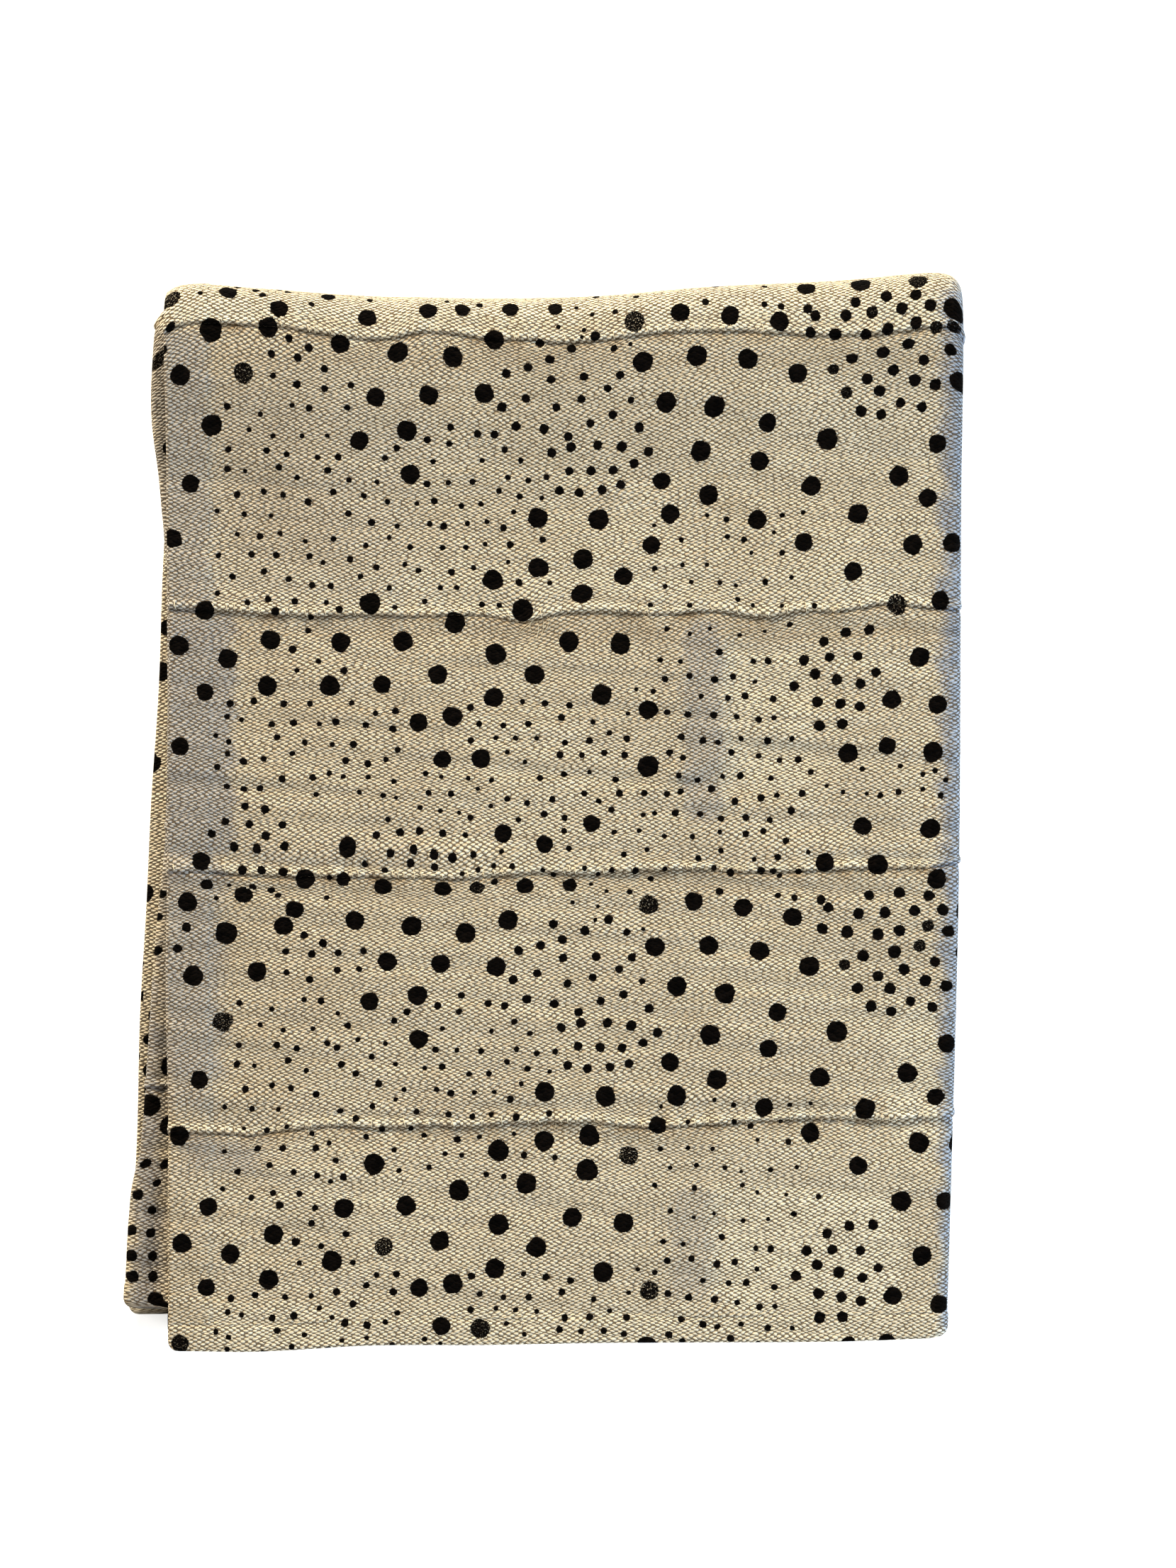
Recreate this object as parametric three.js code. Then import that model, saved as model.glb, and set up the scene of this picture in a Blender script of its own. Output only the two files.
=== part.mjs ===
import * as THREE from "three";

// A folded mud cloth: eight hand-woven cotton strips sewn edge to edge.
// The cloth is folded in quarters along the strips and then once across them, over a soft roll at the back.
// Millimetres. X runs along the strips, Y from the open lower edge to the roll, Z is up.

// thickness of the woven cotton, the raised seams and the turned hems
const CLOTH = 1.6;
const SEAM_GAP = 0.46;
const SEAM_BAND = 2.4;
const SEAM_RISE = 0.5;
const HEM_RISE = 0.45;
const HEM_BAND = 15;
const HEM_STEP = 1.6;
const END_HEM_NEAR = 0.052;
const END_HEM_FAR = 0.058;

// how the layers lie on each other
const LAYER_PITCH = 3.0;
const ROLL_PITCH = 3.5;
const ROLL_RADIUS = 17.2;
const ROLL_REACH = 95;
const ROLL_EASE = 60;
const ROLL_END_MARK = 537.6;
const BOOK_LAYERS = 4;
const CLOTH_LENGTH = 1506;
const OUTER_BEND = 5.0;
const INNER_BEND = 2.0;
const INNER_SET_BACK = 3.0;
const LEFT_SHIFT = 19.8;
const RIGHT_SHIFT = 6;
const END_SHIFT = 9;

// the strips from the open lower edge, over the roll, to the hem underneath
const STRIPS = [
  { name: "strip_1", width: 106.0, stops: [0.02, 0.126, 0.141, 0.45, 0.72, 0.98] },
  { name: "strip_2", width: 122.6, stops: [0.02, 0.34, 0.66, 0.98] },
  { name: "strip_3", width: 123.4, stops: [0.02, 0.34, 0.66, 0.98] },
  { name: "strip_4", width: 131.6, stops: [0.02, 0.3, 0.62, 0.86, 0.91, 0.95, 0.982] },
  {
    name: "strip_5",
    width: 138.0,
    stops: [0.018, 0.05, 0.082, 0.114, 0.147, 0.18, 0.213, 0.246, 0.28, 0.315, 0.35, 0.39, 0.44, 0.56, 0.78, 0.982],
  },
  { name: "strip_6", width: 134.0, stops: [0.02, 0.34, 0.66, 0.98] },
  { name: "strip_7", width: 132.0, stops: [0.02, 0.34, 0.66, 0.98] },
  { name: "strip_8", width: 118.6, stops: [0.02, 0.28, 0.55, 0.874, 0.887, 0.98] },
];

// lines across the front, from its left edge: the lower edge, the four seams, the top of the roll,
// and where the under half starts
const LINES = [
  { at: -25, lower: -0.6, seamA: 106.8, seamB: 230.6, seamC: 354.4, seamD: 489.4, top: 490.0, under: 493.0 },
  { at: -7, lower: -0.5, seamA: 106.9, seamB: 230.7, seamC: 354.2, seamD: 489.3, top: 500.6, under: 493.0 },
  { at: 7, lower: -0.4, seamA: 107.0, seamB: 230.7, seamC: 354.0, seamD: 489.0, top: 509.2, under: 493.0 },
  { at: 45, lower: -0.6, seamA: 107.5, seamB: 230.8, seamC: 353.4, seamD: 488.0, top: 507.8, under: 491.0 },
  { at: 95, lower: 2.2, seamA: 108.3, seamB: 230.9, seamC: 352.6, seamD: 486.6, top: 504.7, under: 488.0 },
  { at: 150, lower: 2.5, seamA: 109.0, seamB: 231.1, seamC: 351.8, seamD: 485.6, top: 503.4, under: 486.0 },
  { at: 205, lower: 3.5, seamA: 109.6, seamB: 231.3, seamC: 351.8, seamD: 485.4, top: 504.6, under: 487.0 },
  { at: 260, lower: 3.8, seamA: 110.3, seamB: 231.6, seamC: 353.4, seamD: 486.4, top: 509.0, under: 491.0 },
  { at: 320, lower: 4.2, seamA: 110.9, seamB: 231.9, seamC: 355.8, seamD: 488.0, top: 512.0, under: 498.0 },
  { at: 362, lower: 5.6, seamA: 111.4, seamB: 232.1, seamC: 357.6, seamD: 489.0, top: 514.8, under: 503.0 },
  { at: 372, lower: 6.4, seamA: 111.5, seamB: 232.2, seamC: 357.9, seamD: 489.2, top: 512.6, under: 504.0 },
  { at: 381, lower: 6.8, seamA: 111.6, seamB: 232.2, seamC: 358.0, seamD: 489.3, top: 506.0, under: 505.0 },
];

// how far the under layers stand out at the left and the fold reaches at the right, by the way up the cloth
const SIDES = [
  { up: 0, out: 22.0, reach: 373.0 },
  { up: 40, out: 20.4, reach: 374.2 },
  { up: 75, out: 18.0, reach: 375.2 },
  { up: 95, out: 13.8, reach: 375.8 },
  { up: 130, out: 10.8, reach: 376.8 },
  { up: 195, out: 6.4, reach: 378.4 },
  { up: 250, out: 1.4, reach: 379.3 },
  { up: 365, out: 1.0, reach: 379.8 },
  { up: 405, out: 3.8, reach: 380.0 },
  { up: 450, out: 7.6, reach: 380.2 },
  { up: 490, out: 6.4, reach: 380.2 },
  { up: 520, out: 4.0, reach: 379.6 },
  { up: 570, out: 1.5, reach: 378.4 },
  { up: 1040, out: 0.5, reach: 373.0 },
];

// soft swells of the upper half
const SWELLS = [
  { at: 70, up: 405, across: 60, along: 34, rise: 1.5 },
  { at: 190, up: 300, across: 90, along: 40, rise: 1.3 },
  { at: 320, up: 390, across: 50, along: 45, rise: 1.7 },
  { at: 110, up: 170, across: 80, along: 40, rise: 1.4 },
  { at: 290, up: 165, across: 70, along: 48, rise: 1.2 },
  { at: 25, up: 260, across: 40, along: 60, rise: 1.0 },
  { at: 230, up: 55, across: 90, along: 26, rise: 1.1 },
];

// where the mesh has its columns, as shares of each flat run and of each bend
const FRONT_RUN = [0, 0.012, 0.03, END_HEM_NEAR, END_HEM_FAR, 0.13, 0.24, 0.36, 0.48, 0.6, 0.72, 0.84, 0.93, 0.975];
const UNDER_RUN = [0, 0.03, 0.1, 0.22, 0.36, 0.5, 0.64, 0.78, 0.9, 0.965];
const LAST_RUN = [0, 0.03, 0.1, 0.22, 0.36, 0.5, 0.64, 0.78, 0.88, 1 - END_HEM_FAR, 1 - END_HEM_NEAR, 0.98, 1];
const WIDE_BEND = [0, 0.14, 0.28, 0.43, 0.57, 0.72, 0.86];
const TIGHT_BEND = [0, 0.2, 0.4, 0.6, 0.8];
const COLUMNS = [FRONT_RUN, WIDE_BEND, UNDER_RUN, TIGHT_BEND, UNDER_RUN, TIGHT_BEND, LAST_RUN].flatMap(
  (run, index) => run.map((share) => index + share),
);

const SEAM_NAMES = ["lower", "seamA", "seamB", "seamC", "seamD"];
const SEAM_MARKS = SEAM_NAMES.map((name, count) => widthOf(STRIPS.slice(0, count)));
const CLOTH_WIDTH = widthOf(STRIPS);

function widthOf(strips) {
  return strips.reduce((sum, strip) => sum + strip.width, 0);
}

function mix(a, b, share) {
  return a + (b - a) * share;
}

function soft(value) {
  const share = Math.min(1, Math.max(0, value));
  return share * share * (3 - 2 * share);
}

// a smooth curve through one named column of a table
function read(table, key, place, column) {
  const last = table.length - 1;
  let row = 0;
  while (row < last - 1 && place > table[row + 1][key]) {
    row += 1;
  }
  const before = table[Math.max(0, row - 1)];
  const from = table[row];
  const to = table[row + 1];
  const after = table[Math.min(last, row + 2)];
  const span = to[key] - from[key];
  const share = Math.min(1, Math.max(0, (place - from[key]) / span));
  const rise = to[column] - from[column];
  const slopeIn = row === 0 ? rise : ((to[column] - before[column]) / (to[key] - before[key])) * span;
  const slopeOut = row + 2 > last ? rise : ((after[column] - from[column]) / (after[key] - from[key])) * span;
  const share2 = share * share;
  const share3 = share2 * share;
  return (
    (2 * share3 - 3 * share2 + 1) * from[column] +
    (share3 - 2 * share2 + share) * slopeIn +
    (3 * share2 - 2 * share3) * to[column] +
    (share3 - share2) * slopeOut
  );
}

// the height on the front of a line that runs along the cloth
function frontHeight(across, up) {
  const last = SEAM_MARKS.length - 1;
  let row = 0;
  while (row < last - 1 && up > SEAM_MARKS[row + 1]) {
    row += 1;
  }
  const low = read(LINES, "at", across, SEAM_NAMES[row]);
  const high = read(LINES, "at", across, SEAM_NAMES[row + 1]);
  if (up > SEAM_MARKS[last]) {
    return high + up - SEAM_MARKS[last];
  }
  return mix(low, high, (up - SEAM_MARKS[row]) / (SEAM_MARKS[row + 1] - SEAM_MARKS[row]));
}

function swell(across, height) {
  let rise = 0;
  for (const spot of SWELLS) {
    const dx = (across - spot.at) / spot.across;
    const dy = (height - spot.up) / spot.along;
    rise += spot.rise * Math.exp(-dx * dx - dy * dy);
  }
  return rise;
}

// the place on the stack: across the front, up along the cloth, and how many layers down
function place(across, up, layer) {
  const centre = read(LINES, "at", across, "top") - ROLL_RADIUS - CLOTH / 2;
  const under = read(LINES, "at", across, "under");
  const start = SEAM_MARKS[4] + centre - read(LINES, "at", across, "seamD");
  const end = ROLL_END_MARK + under - centre;
  const low = CLOTH / 2;
  const high = low + LAYER_PITCH * (2 * BOOK_LAYERS - 1);
  const rollHigh = low + 2 * ROLL_RADIUS;
  const radius = ROLL_RADIUS - ROLL_PITCH * layer;
  // an inner layer has less way to go round the roll, so it is eased in before and after it
  const halfArc = (Math.PI / 2) * radius;
  const fromMiddle = up - (start + end) / 2;
  const zone = (end - start) / 2 + ROLL_EASE;
  const eased = Math.abs(fromMiddle) < zone
    ? fromMiddle * ((halfArc + ROLL_EASE) / zone)
    : Math.sign(fromMiddle) * (Math.abs(fromMiddle) - zone + halfArc + ROLL_EASE);
  if (Math.abs(eased) < halfArc) {
    const turn = (eased + halfArc) / radius;
    return [across, centre + radius * Math.sin(turn), low + ROLL_RADIUS + radius * Math.cos(turn)];
  }
  const flat = Math.abs(eased) - halfArc;
  const height = eased < 0 ? frontHeight(across, start - flat) : under - (end + flat - ROLL_END_MARK);
  const puff = 1 - soft((centre - height) / ROLL_REACH);
  const pitch = mix(LAYER_PITCH, ROLL_PITCH, puff);
  if (eased < 0) {
    const upper = mix(high, rollHigh, puff) + (1 - puff) * swell(across, height);
    return [across, height, upper - pitch * layer];
  }
  return [across, height, low + pitch * layer];
}

// the middle of the cloth's thickness: along the folded run, and up across the strips
function middle(along, up) {
  const run = Math.min(6, Math.floor(along));
  const share = along - run;
  const shift = [0, 0, share * LEFT_SHIFT, LEFT_SHIFT, mix(LEFT_SHIFT, RIGHT_SHIFT, share), RIGHT_SHIFT,
    mix(RIGHT_SHIFT, END_SHIFT, share)][run];
  const way = up + shift;
  const left = -read(SIDES, "up", way, "out") + INNER_BEND + CLOTH / 2;
  const right = read(SIDES, "up", way, "reach") - OUTER_BEND - CLOTH / 2;
  const inner = right - INNER_SET_BACK;
  const edge = 0.5 * Math.sin(up / 41) + 0.3 * Math.sin(up / 17 + 1);
  const bends = Math.PI * (1.5 * LAYER_PITCH + OUTER_BEND) / 2 + Math.PI * (LAYER_PITCH / 2 + INNER_BEND);
  const used = right - edge + (right - left) + (inner - left) + bends;
  const end = inner - (CLOTH_LENGTH - used);
  const turn = Math.PI * share;
  const runs = [
    () => [mix(edge, right, share), 0],
    () => [right + OUTER_BEND * Math.sin(turn), 1.5 * (1 - Math.cos(turn))],
    () => [mix(right, left, share), 3],
    () => [left - INNER_BEND * Math.sin(turn), 2.5 + 0.5 * Math.cos(turn)],
    () => [mix(left, inner, share), 2],
    () => [inner + INNER_BEND * Math.sin(turn), 1.5 + 0.5 * Math.cos(turn)],
    () => [mix(inner, end, share), 1],
  ];
  const [across, layer] = runs[run]();
  return new THREE.Vector3(...place(across, way, layer));
}

// half the thickness on the printed face and on the plain face
function halfThickness(along, up, fromEdge, printed) {
  const endHem = 1 - soft((Math.min(along, 7 - along) - END_HEM_NEAR) / (END_HEM_FAR - END_HEM_NEAR));
  const fromHem = Math.min(up, CLOTH_WIDTH - up);
  const longHem = 1 - soft((fromHem - HEM_BAND + HEM_STEP) / HEM_STEP);
  const seam = Math.max(0, 1 - fromEdge / SEAM_BAND) * (fromHem > HEM_BAND ? 1 : 0);
  const hem = HEM_RISE * Math.max(endHem, longHem);
  return CLOTH / 2 + Math.max(hem, printed ? SEAM_RISE * seam : 0);
}

// a point on the printed face (side 1) or the plain face (side -1)
function skin(along, up, fromEdge, side) {
  const stepAlong = 0.004;
  const stepUp = 0.2;
  const before = middle(Math.max(0, along - stepAlong), up);
  const after = middle(Math.min(7, along + stepAlong), up);
  const below = middle(along, up - stepUp);
  const above = middle(along, up + stepUp);
  const normal = after.sub(before).cross(above.sub(below)).normalize();
  const point = middle(along, up).addScaledVector(normal, side * halfThickness(along, up, fromEdge, side > 0));
  point.z = Math.max(0, point.z);
  return point;
}

// one strip: a flat box with rows and columns, folded by the functions above
function makeStrip(strip, start) {
  const low = start + (start > 0 ? SEAM_GAP / 2 : 0);
  const high = start + strip.width - (start + strip.width < CLOTH_WIDTH - 1 ? SEAM_GAP / 2 : 0);
  const rows = [low, ...strip.stops.map((share) => start + share * strip.width), high];
  const columns = COLUMNS.length - 1;
  const box = new THREE.BoxGeometry(2, 2, 2, columns, rows.length - 1, 1);
  const spots = box.attributes.position;
  for (let index = 0; index < spots.count; index += 1) {
    const column = Math.round(((spots.getX(index) + 1) / 2) * columns);
    const row = Math.round(((spots.getY(index) + 1) / 2) * (rows.length - 1));
    const up = rows[row];
    const point = skin(COLUMNS[column], up, Math.min(up - low, high - up), Math.sign(spots.getZ(index)));
    spots.setXYZ(index, point.x, point.y, point.z);
  }
  box.computeVertexNormals();
  const cotton = new THREE.MeshStandardMaterial({ color: 0xd8c8a4, roughness: 0.95, metalness: 0 });
  const mesh = new THREE.Mesh(box, cotton);
  mesh.name = strip.name;
  return mesh;
}

const group = new THREE.Group();
group.name = "mud_cloth";
let start = 0;
for (const strip of STRIPS) {
  group.add(makeStrip(strip, start));
  start += strip.width;
}

// the origin is the middle of the footprint, on the surface it rests on
const bounds = new THREE.Box3().setFromObject(group);
const centre = bounds.getCenter(new THREE.Vector3());
for (const mesh of group.children) {
  mesh.geometry.translate(-centre.x, -centre.y, -bounds.min.z);
}

export default group;
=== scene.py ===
import math
import bpy
import numpy as np
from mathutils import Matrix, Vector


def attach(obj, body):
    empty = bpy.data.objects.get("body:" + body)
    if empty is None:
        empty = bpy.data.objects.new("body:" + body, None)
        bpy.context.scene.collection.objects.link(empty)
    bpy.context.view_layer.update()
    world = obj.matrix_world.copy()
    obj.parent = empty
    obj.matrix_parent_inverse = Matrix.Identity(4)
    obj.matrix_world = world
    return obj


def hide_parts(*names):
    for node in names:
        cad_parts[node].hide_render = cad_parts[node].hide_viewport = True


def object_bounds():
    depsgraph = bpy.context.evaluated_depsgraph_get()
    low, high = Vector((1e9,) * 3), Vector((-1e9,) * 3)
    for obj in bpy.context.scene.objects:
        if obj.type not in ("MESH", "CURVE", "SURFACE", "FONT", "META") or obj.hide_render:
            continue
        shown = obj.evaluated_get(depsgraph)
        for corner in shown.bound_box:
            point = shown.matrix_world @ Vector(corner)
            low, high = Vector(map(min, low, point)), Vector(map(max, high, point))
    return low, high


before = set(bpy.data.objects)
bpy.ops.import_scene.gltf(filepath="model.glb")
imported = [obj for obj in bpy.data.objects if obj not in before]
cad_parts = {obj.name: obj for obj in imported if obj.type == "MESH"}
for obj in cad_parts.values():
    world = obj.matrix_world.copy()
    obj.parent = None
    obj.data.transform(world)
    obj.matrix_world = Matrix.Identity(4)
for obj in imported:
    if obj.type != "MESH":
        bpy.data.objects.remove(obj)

cad_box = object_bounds()

# A folded mud cloth: eight hand-woven cotton strips sewn edge to edge, folded in quarters and rolled over
# once. Lengths are in millimetres until a mesh is made. X runs along the strips, Y up to the roll, Z up.
MM = 0.001
SEED = 7
FULL_TURN = 2 * math.pi

# the cloth and how its layers lie
CLOTH = 1.6
HEM_RISE = 0.45
HEM_STEP = 1.6
END_HEM_NEAR = 0.052
END_HEM_FAR = 0.058
LAYER_PITCH = 3.0
ROLL_PITCH = 3.5
ROLL_RADIUS = 17.2
ROLL_REACH = 95.0
ROLL_EASE = 60.0
ROLL_END_MARK = 537.6
BOOK_LAYERS = 4
CLOTH_LENGTH = 1506.0
OUTER_BEND = 5.0
INNER_BEND = 2.0
INNER_SET_BACK = 3.0
LEFT_SHIFT = 19.8
RIGHT_SHIFT = 6.0
END_SHIFT = 9.0
SHIFT_RUNS = [0, 2, 3, 4, 5, 6, 7]
SHIFTS = [0, 0, LEFT_SHIFT, LEFT_SHIFT, RIGHT_SHIFT, RIGHT_SHIFT, END_SHIFT]
CORNER = 5.0
SEAM_LAP = 1.5
FAR_AWAY = 99.0
HEM_CREASE = 12.2


def table(columns, *rows):
    """Rows of values with a name for each column."""
    return [dict(zip(columns.split(), row)) for row in rows]


# the woven strips from the front's lower edge to the hidden one, and whether each is finely divided
STRIPS = table(
    "name width fine",
    ("strip_1", 106.0, True),
    ("strip_2", 122.6, True),
    ("strip_3", 123.4, True),
    ("strip_4", 131.6, True),
    ("strip_5", 138.0, True),
    ("strip_6", 134.0, False),
    ("strip_7", 132.0, False),
    ("strip_8", 118.6, False),
)
STRIP_EDGES = [sum(strip["width"] for strip in STRIPS[:count]) for count in range(len(STRIPS) + 1)]
CLOTH_WIDTH = STRIP_EDGES[-1]

# lines across the front, by the distance from its left edge
LINES = table(
    "at lower seam_a seam_b seam_c seam_d top under",
    (-25, -0.6, 106.8, 230.6, 354.4, 489.4, 490.0, 493.0),
    (-7, -0.5, 106.9, 230.7, 354.2, 489.3, 500.6, 493.0),
    (7, -0.4, 107.0, 230.7, 354.0, 489.0, 509.2, 493.0),
    (45, -0.6, 107.5, 230.8, 353.4, 488.0, 507.8, 491.0),
    (95, 2.2, 108.3, 230.9, 352.6, 486.6, 504.7, 488.0),
    (150, 2.5, 109.0, 231.1, 351.8, 485.6, 503.4, 486.0),
    (205, 3.5, 109.6, 231.3, 351.8, 485.4, 504.6, 487.0),
    (260, 3.8, 110.3, 231.6, 353.4, 486.4, 509.0, 491.0),
    (320, 4.2, 110.9, 231.9, 355.8, 488.0, 512.0, 498.0),
    (362, 5.6, 111.4, 232.1, 357.6, 489.0, 515.6, 503.0),
    (372, 6.4, 111.5, 232.2, 357.9, 489.2, 515.2, 504.0),
    (381, 6.8, 111.6, 232.2, 358.0, 489.3, 511.6, 505.0),
)
SEAM_NAMES = ["lower", "seam_a", "seam_b", "seam_c", "seam_d"]
SEAM_MARKS = STRIP_EDGES[:len(SEAM_NAMES)]

# how far the under layers stand out at the left and the fold reaches at the right, by the way up
SIDES = table(
    "up out reach",
    (0, 22.0, 373.0),
    (40, 20.4, 374.2),
    (75, 18.0, 375.2),
    (95, 13.8, 375.8),
    (130, 10.8, 376.8),
    (195, 6.4, 378.4),
    (250, 1.4, 379.3),
    (365, 1.0, 379.8),
    (405, 3.8, 380.0),
    (450, 7.6, 380.2),
    (490, 6.4, 380.2),
    (520, 4.0, 379.6),
    (570, 1.5, 378.4),
    (1040, 0.5, 373.0),
)

# broad soft swellings of the front
SWELLS = table(
    "at up across along rise",
    (70, 405, 60, 34, 1.5),
    (190, 300, 90, 40, 1.3),
    (320, 390, 50, 45, 1.7),
    (110, 170, 80, 40, 1.4),
    (290, 165, 70, 48, 1.2),
    (25, 260, 40, 60, 1.0),
    (230, 55, 90, 26, 1.1),
)

# how far each sewn line wanders up or down from its straight run
WANDER = table(
    "at seam_a seam_b seam_c seam_d",
    (-5, -1.6, -0.8, 2.0, -0.6),
    (15, -2.0, -0.8, 1.6, 1.8),
    (38, -3.2, -2.0, 0.6, 1.9),
    (52, -2.4, -2.8, -0.2, 1.9),
    (66, -0.3, -3.0, -0.4, 0.4),
    (84, 0.4, -3.1, 0.2, -1.6),
    (102, -0.6, -3.4, 0.3, -2.6),
    (121, 0.1, -3.9, 0.2, 1.3),
    (139, -0.7, -4.4, 0.9, 0.4),
    (156, 0.2, -3.2, 0.4, -1.7),
    (170, 0.6, -1.8, -2.4, -2.0),
    (184, 1.2, -1.8, 1.2, -3.2),
    (204, 0.7, -2.1, 2.9, -3.1),
    (222, -1.4, -0.9, 1.6, -1.0),
    (240, -2.2, -0.4, 0.7, -0.2),
    (262, -0.8, -0.9, 1.1, -0.4),
    (284, -0.1, -2.1, -2.2, -1.2),
    (304, 1.4, -1.4, -0.4, -2.6),
    (322, 0.9, -0.5, -1.2, -3.2),
    (345, 0.4, -0.3, 1.4, -2.6),
    (362, 1.1, 0.0, -1.0, -0.8),
    (378, 2.2, 1.8, -2.4, 0.0),
)
WANDER_REACH = 14.0

# soft troughs and ridges of the front, turned by so many degrees from the strips
CREASES = table(
    "at up turn long wide rise",
    (190, 475, 0, 210, 6, -1.3),
    (-6.2, 50, 86, 34, 3.0, -2.0),
    (-14, 56, 78, 52, 5.0, 1.5),
    (-1.5, 128, 90, 26, 2.6, -2.4),
    (-7, 140, 84, 40, 4.0, 1.2),
    (30, 112, -14, 34, 6, -1.0),
    (34, 123, 2, 46, 4, 0.9),
    (120, 241, 2, 70, 4, 0.9),
    (215, 244, -3, 60, 4, 0.8),
    (300, 240, 2, 50, 4, 0.7),
    (170, 121, 2, 70, 4, 0.9),
    (290, 123, -2, 60, 4, 0.7),
    (70, 345, -2, 60, 5, -0.9),
    (210, 344, 2, 70, 5, -0.9),
    (330, 343, 0, 50, 5, -0.8),
    (90, 222, 1, 80, 4, -0.8),
    (280, 222, -2, 80, 4, -0.8),
    (120, 101, 1, 80, 4, -0.8),
    (290, 104, 2, 70, 4, -0.7),
    (287, 299, 3, 32, 8, 1.2),
    (287, 279, 2, 34, 8, -1.3),
    (286, 263, 2, 34, 7, 1.2),
    (290, 249, -2, 34, 7, -0.9),
    (244, 275, 24, 26, 5, 1.2),
    (96, 262, 2, 60, 7, 0.7),
    (60, 86, -2, 50, 7, 0.7),
    (40, 62, 12, 34, 8, 0.6),
    (150, 64, 4, 46, 7, -0.6),
    (120, 330, 3, 70, 9, 0.5),
    (330, 205, -2, 44, 9, 0.6),
    (300, 452, -4, 50, 8, 0.6),
    (118, 448, 3, 60, 8, 0.5),
    (196, 132, 5, 60, 8, 0.5),
)

# soft steps down to the right where a layer ends underneath
STEPS = table(
    "at half low high drop back",
    (267, 5, 252, 348, 1.8, 60),
    (261, 5, 22, 82, 1.5, 60),
    (31, 6, 285, 345, 0.9, 50),
    (20, 7, 355, 470, 0.8, 60),
    (21, 7, 20, 240, 0.7, 50),
)

# small waves of the front, from the broad to the fine: how high, how long and how wide
RIPPLES = ((0.34, 210.0, 25.0), (0.2, 100.0, 11.0), (0.08, 40.0, 5.6))
RIPPLE_WAVES = 7
PUCKER = 0.4
PUCKER_REACH = 9.0


def mix(a, b, share):
    return a + (b - a) * share


def bell(value, width):
    return np.exp(-((value / width) ** 2))


def unit(vectors):
    return vectors / (np.linalg.norm(vectors, axis=-1, keepdims=True) + 1e-9)


def soft(value):
    share = np.clip(value, 0.0, 1.0)
    return share * share * (3.0 - 2.0 * share)


def read(rows, key, place, column):
    """A smooth curve through one named column of a table."""
    stops = np.array([row[key] for row in rows], float)
    values = np.array([row[column] for row in rows], float)
    last = len(stops) - 1
    row = np.searchsorted(stops[1:last], place, side="left")
    before, after = np.maximum(row - 1, 0), np.minimum(row + 2, last)
    span = stops[row + 1] - stops[row]
    share = np.clip((place - stops[row]) / span, 0.0, 1.0)
    rise = values[row + 1] - values[row]
    slope_in = (values[row + 1] - values[before]) / (stops[row + 1] - stops[before]) * span
    slope_out = (values[after] - values[row]) / (stops[after] - stops[row]) * span
    square, cube = share ** 2, share ** 3
    return (
        (2 * cube - 3 * square + 1) * values[row]
        + (cube - 2 * square + share) * slope_in
        + (3 * square - 2 * cube) * values[row + 1]
        + (cube - square) * slope_out
    )


def line_at(across, name):
    return read(LINES, "at", across, name)


def left_end(up):
    """Where the under layers begin to bend at the left."""
    return -read(SIDES, "up", up, "out") + INNER_BEND + CLOTH / 2


def right_end(up):
    """Where the front begins to bend at the right."""
    return read(SIDES, "up", up, "reach") - OUTER_BEND - CLOTH / 2


def roll_stops(across):
    """The height of the roll's middle, and the ways up the cloth where its turn begins and ends."""
    centre = line_at(across, "top") - ROLL_RADIUS - CLOTH / 2
    start = SEAM_MARKS[-1] + centre - line_at(across, "seam_d")
    return centre, start, ROLL_END_MARK + line_at(across, "under") - centre


def seam_lines(across):
    return np.stack([line_at(across, name) for name in SEAM_NAMES])


def front_height(across, up):
    """The height on the front of a line that runs along the cloth."""
    lines = seam_lines(across)
    marks = np.array(SEAM_MARKS)
    row = np.searchsorted(marks[1:-1], up, side="left")
    low = np.take_along_axis(lines, row[None], 0)[0]
    high = np.take_along_axis(lines, row[None] + 1, 0)[0]
    share = (up - marks[row]) / (marks[row + 1] - marks[row])
    return np.where(up > marks[-1], lines[-1] + up - marks[-1], mix(low, high, share))


def wander(across, up):
    """How far the cloth near each sewn line is drawn up or down."""
    total = np.zeros_like(across)
    for name, mark in zip(SEAM_NAMES[1:], SEAM_MARKS[1:]):
        near = bell(up - mark, WANDER_REACH)
        total = total + near * read(WANDER, "at", across, name)
    return total


def ripple(across, up, seed, long, wide):
    """Small uneven waves, longer along the strips than across them."""
    draw = np.random.default_rng(seed)
    total = np.zeros_like(across)
    for _ in range(RIPPLE_WAVES):
        stretch, lean, phase = draw.uniform(0.6, 1.7), draw.uniform(-0.35, 0.35), draw.uniform(0, FULL_TURN)
        waves = across / (long * stretch) + up / wide * (stretch + lean)
        total = total + np.sin(FULL_TURN * waves + phase)
    return total / RIPPLE_WAVES ** 0.5


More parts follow.
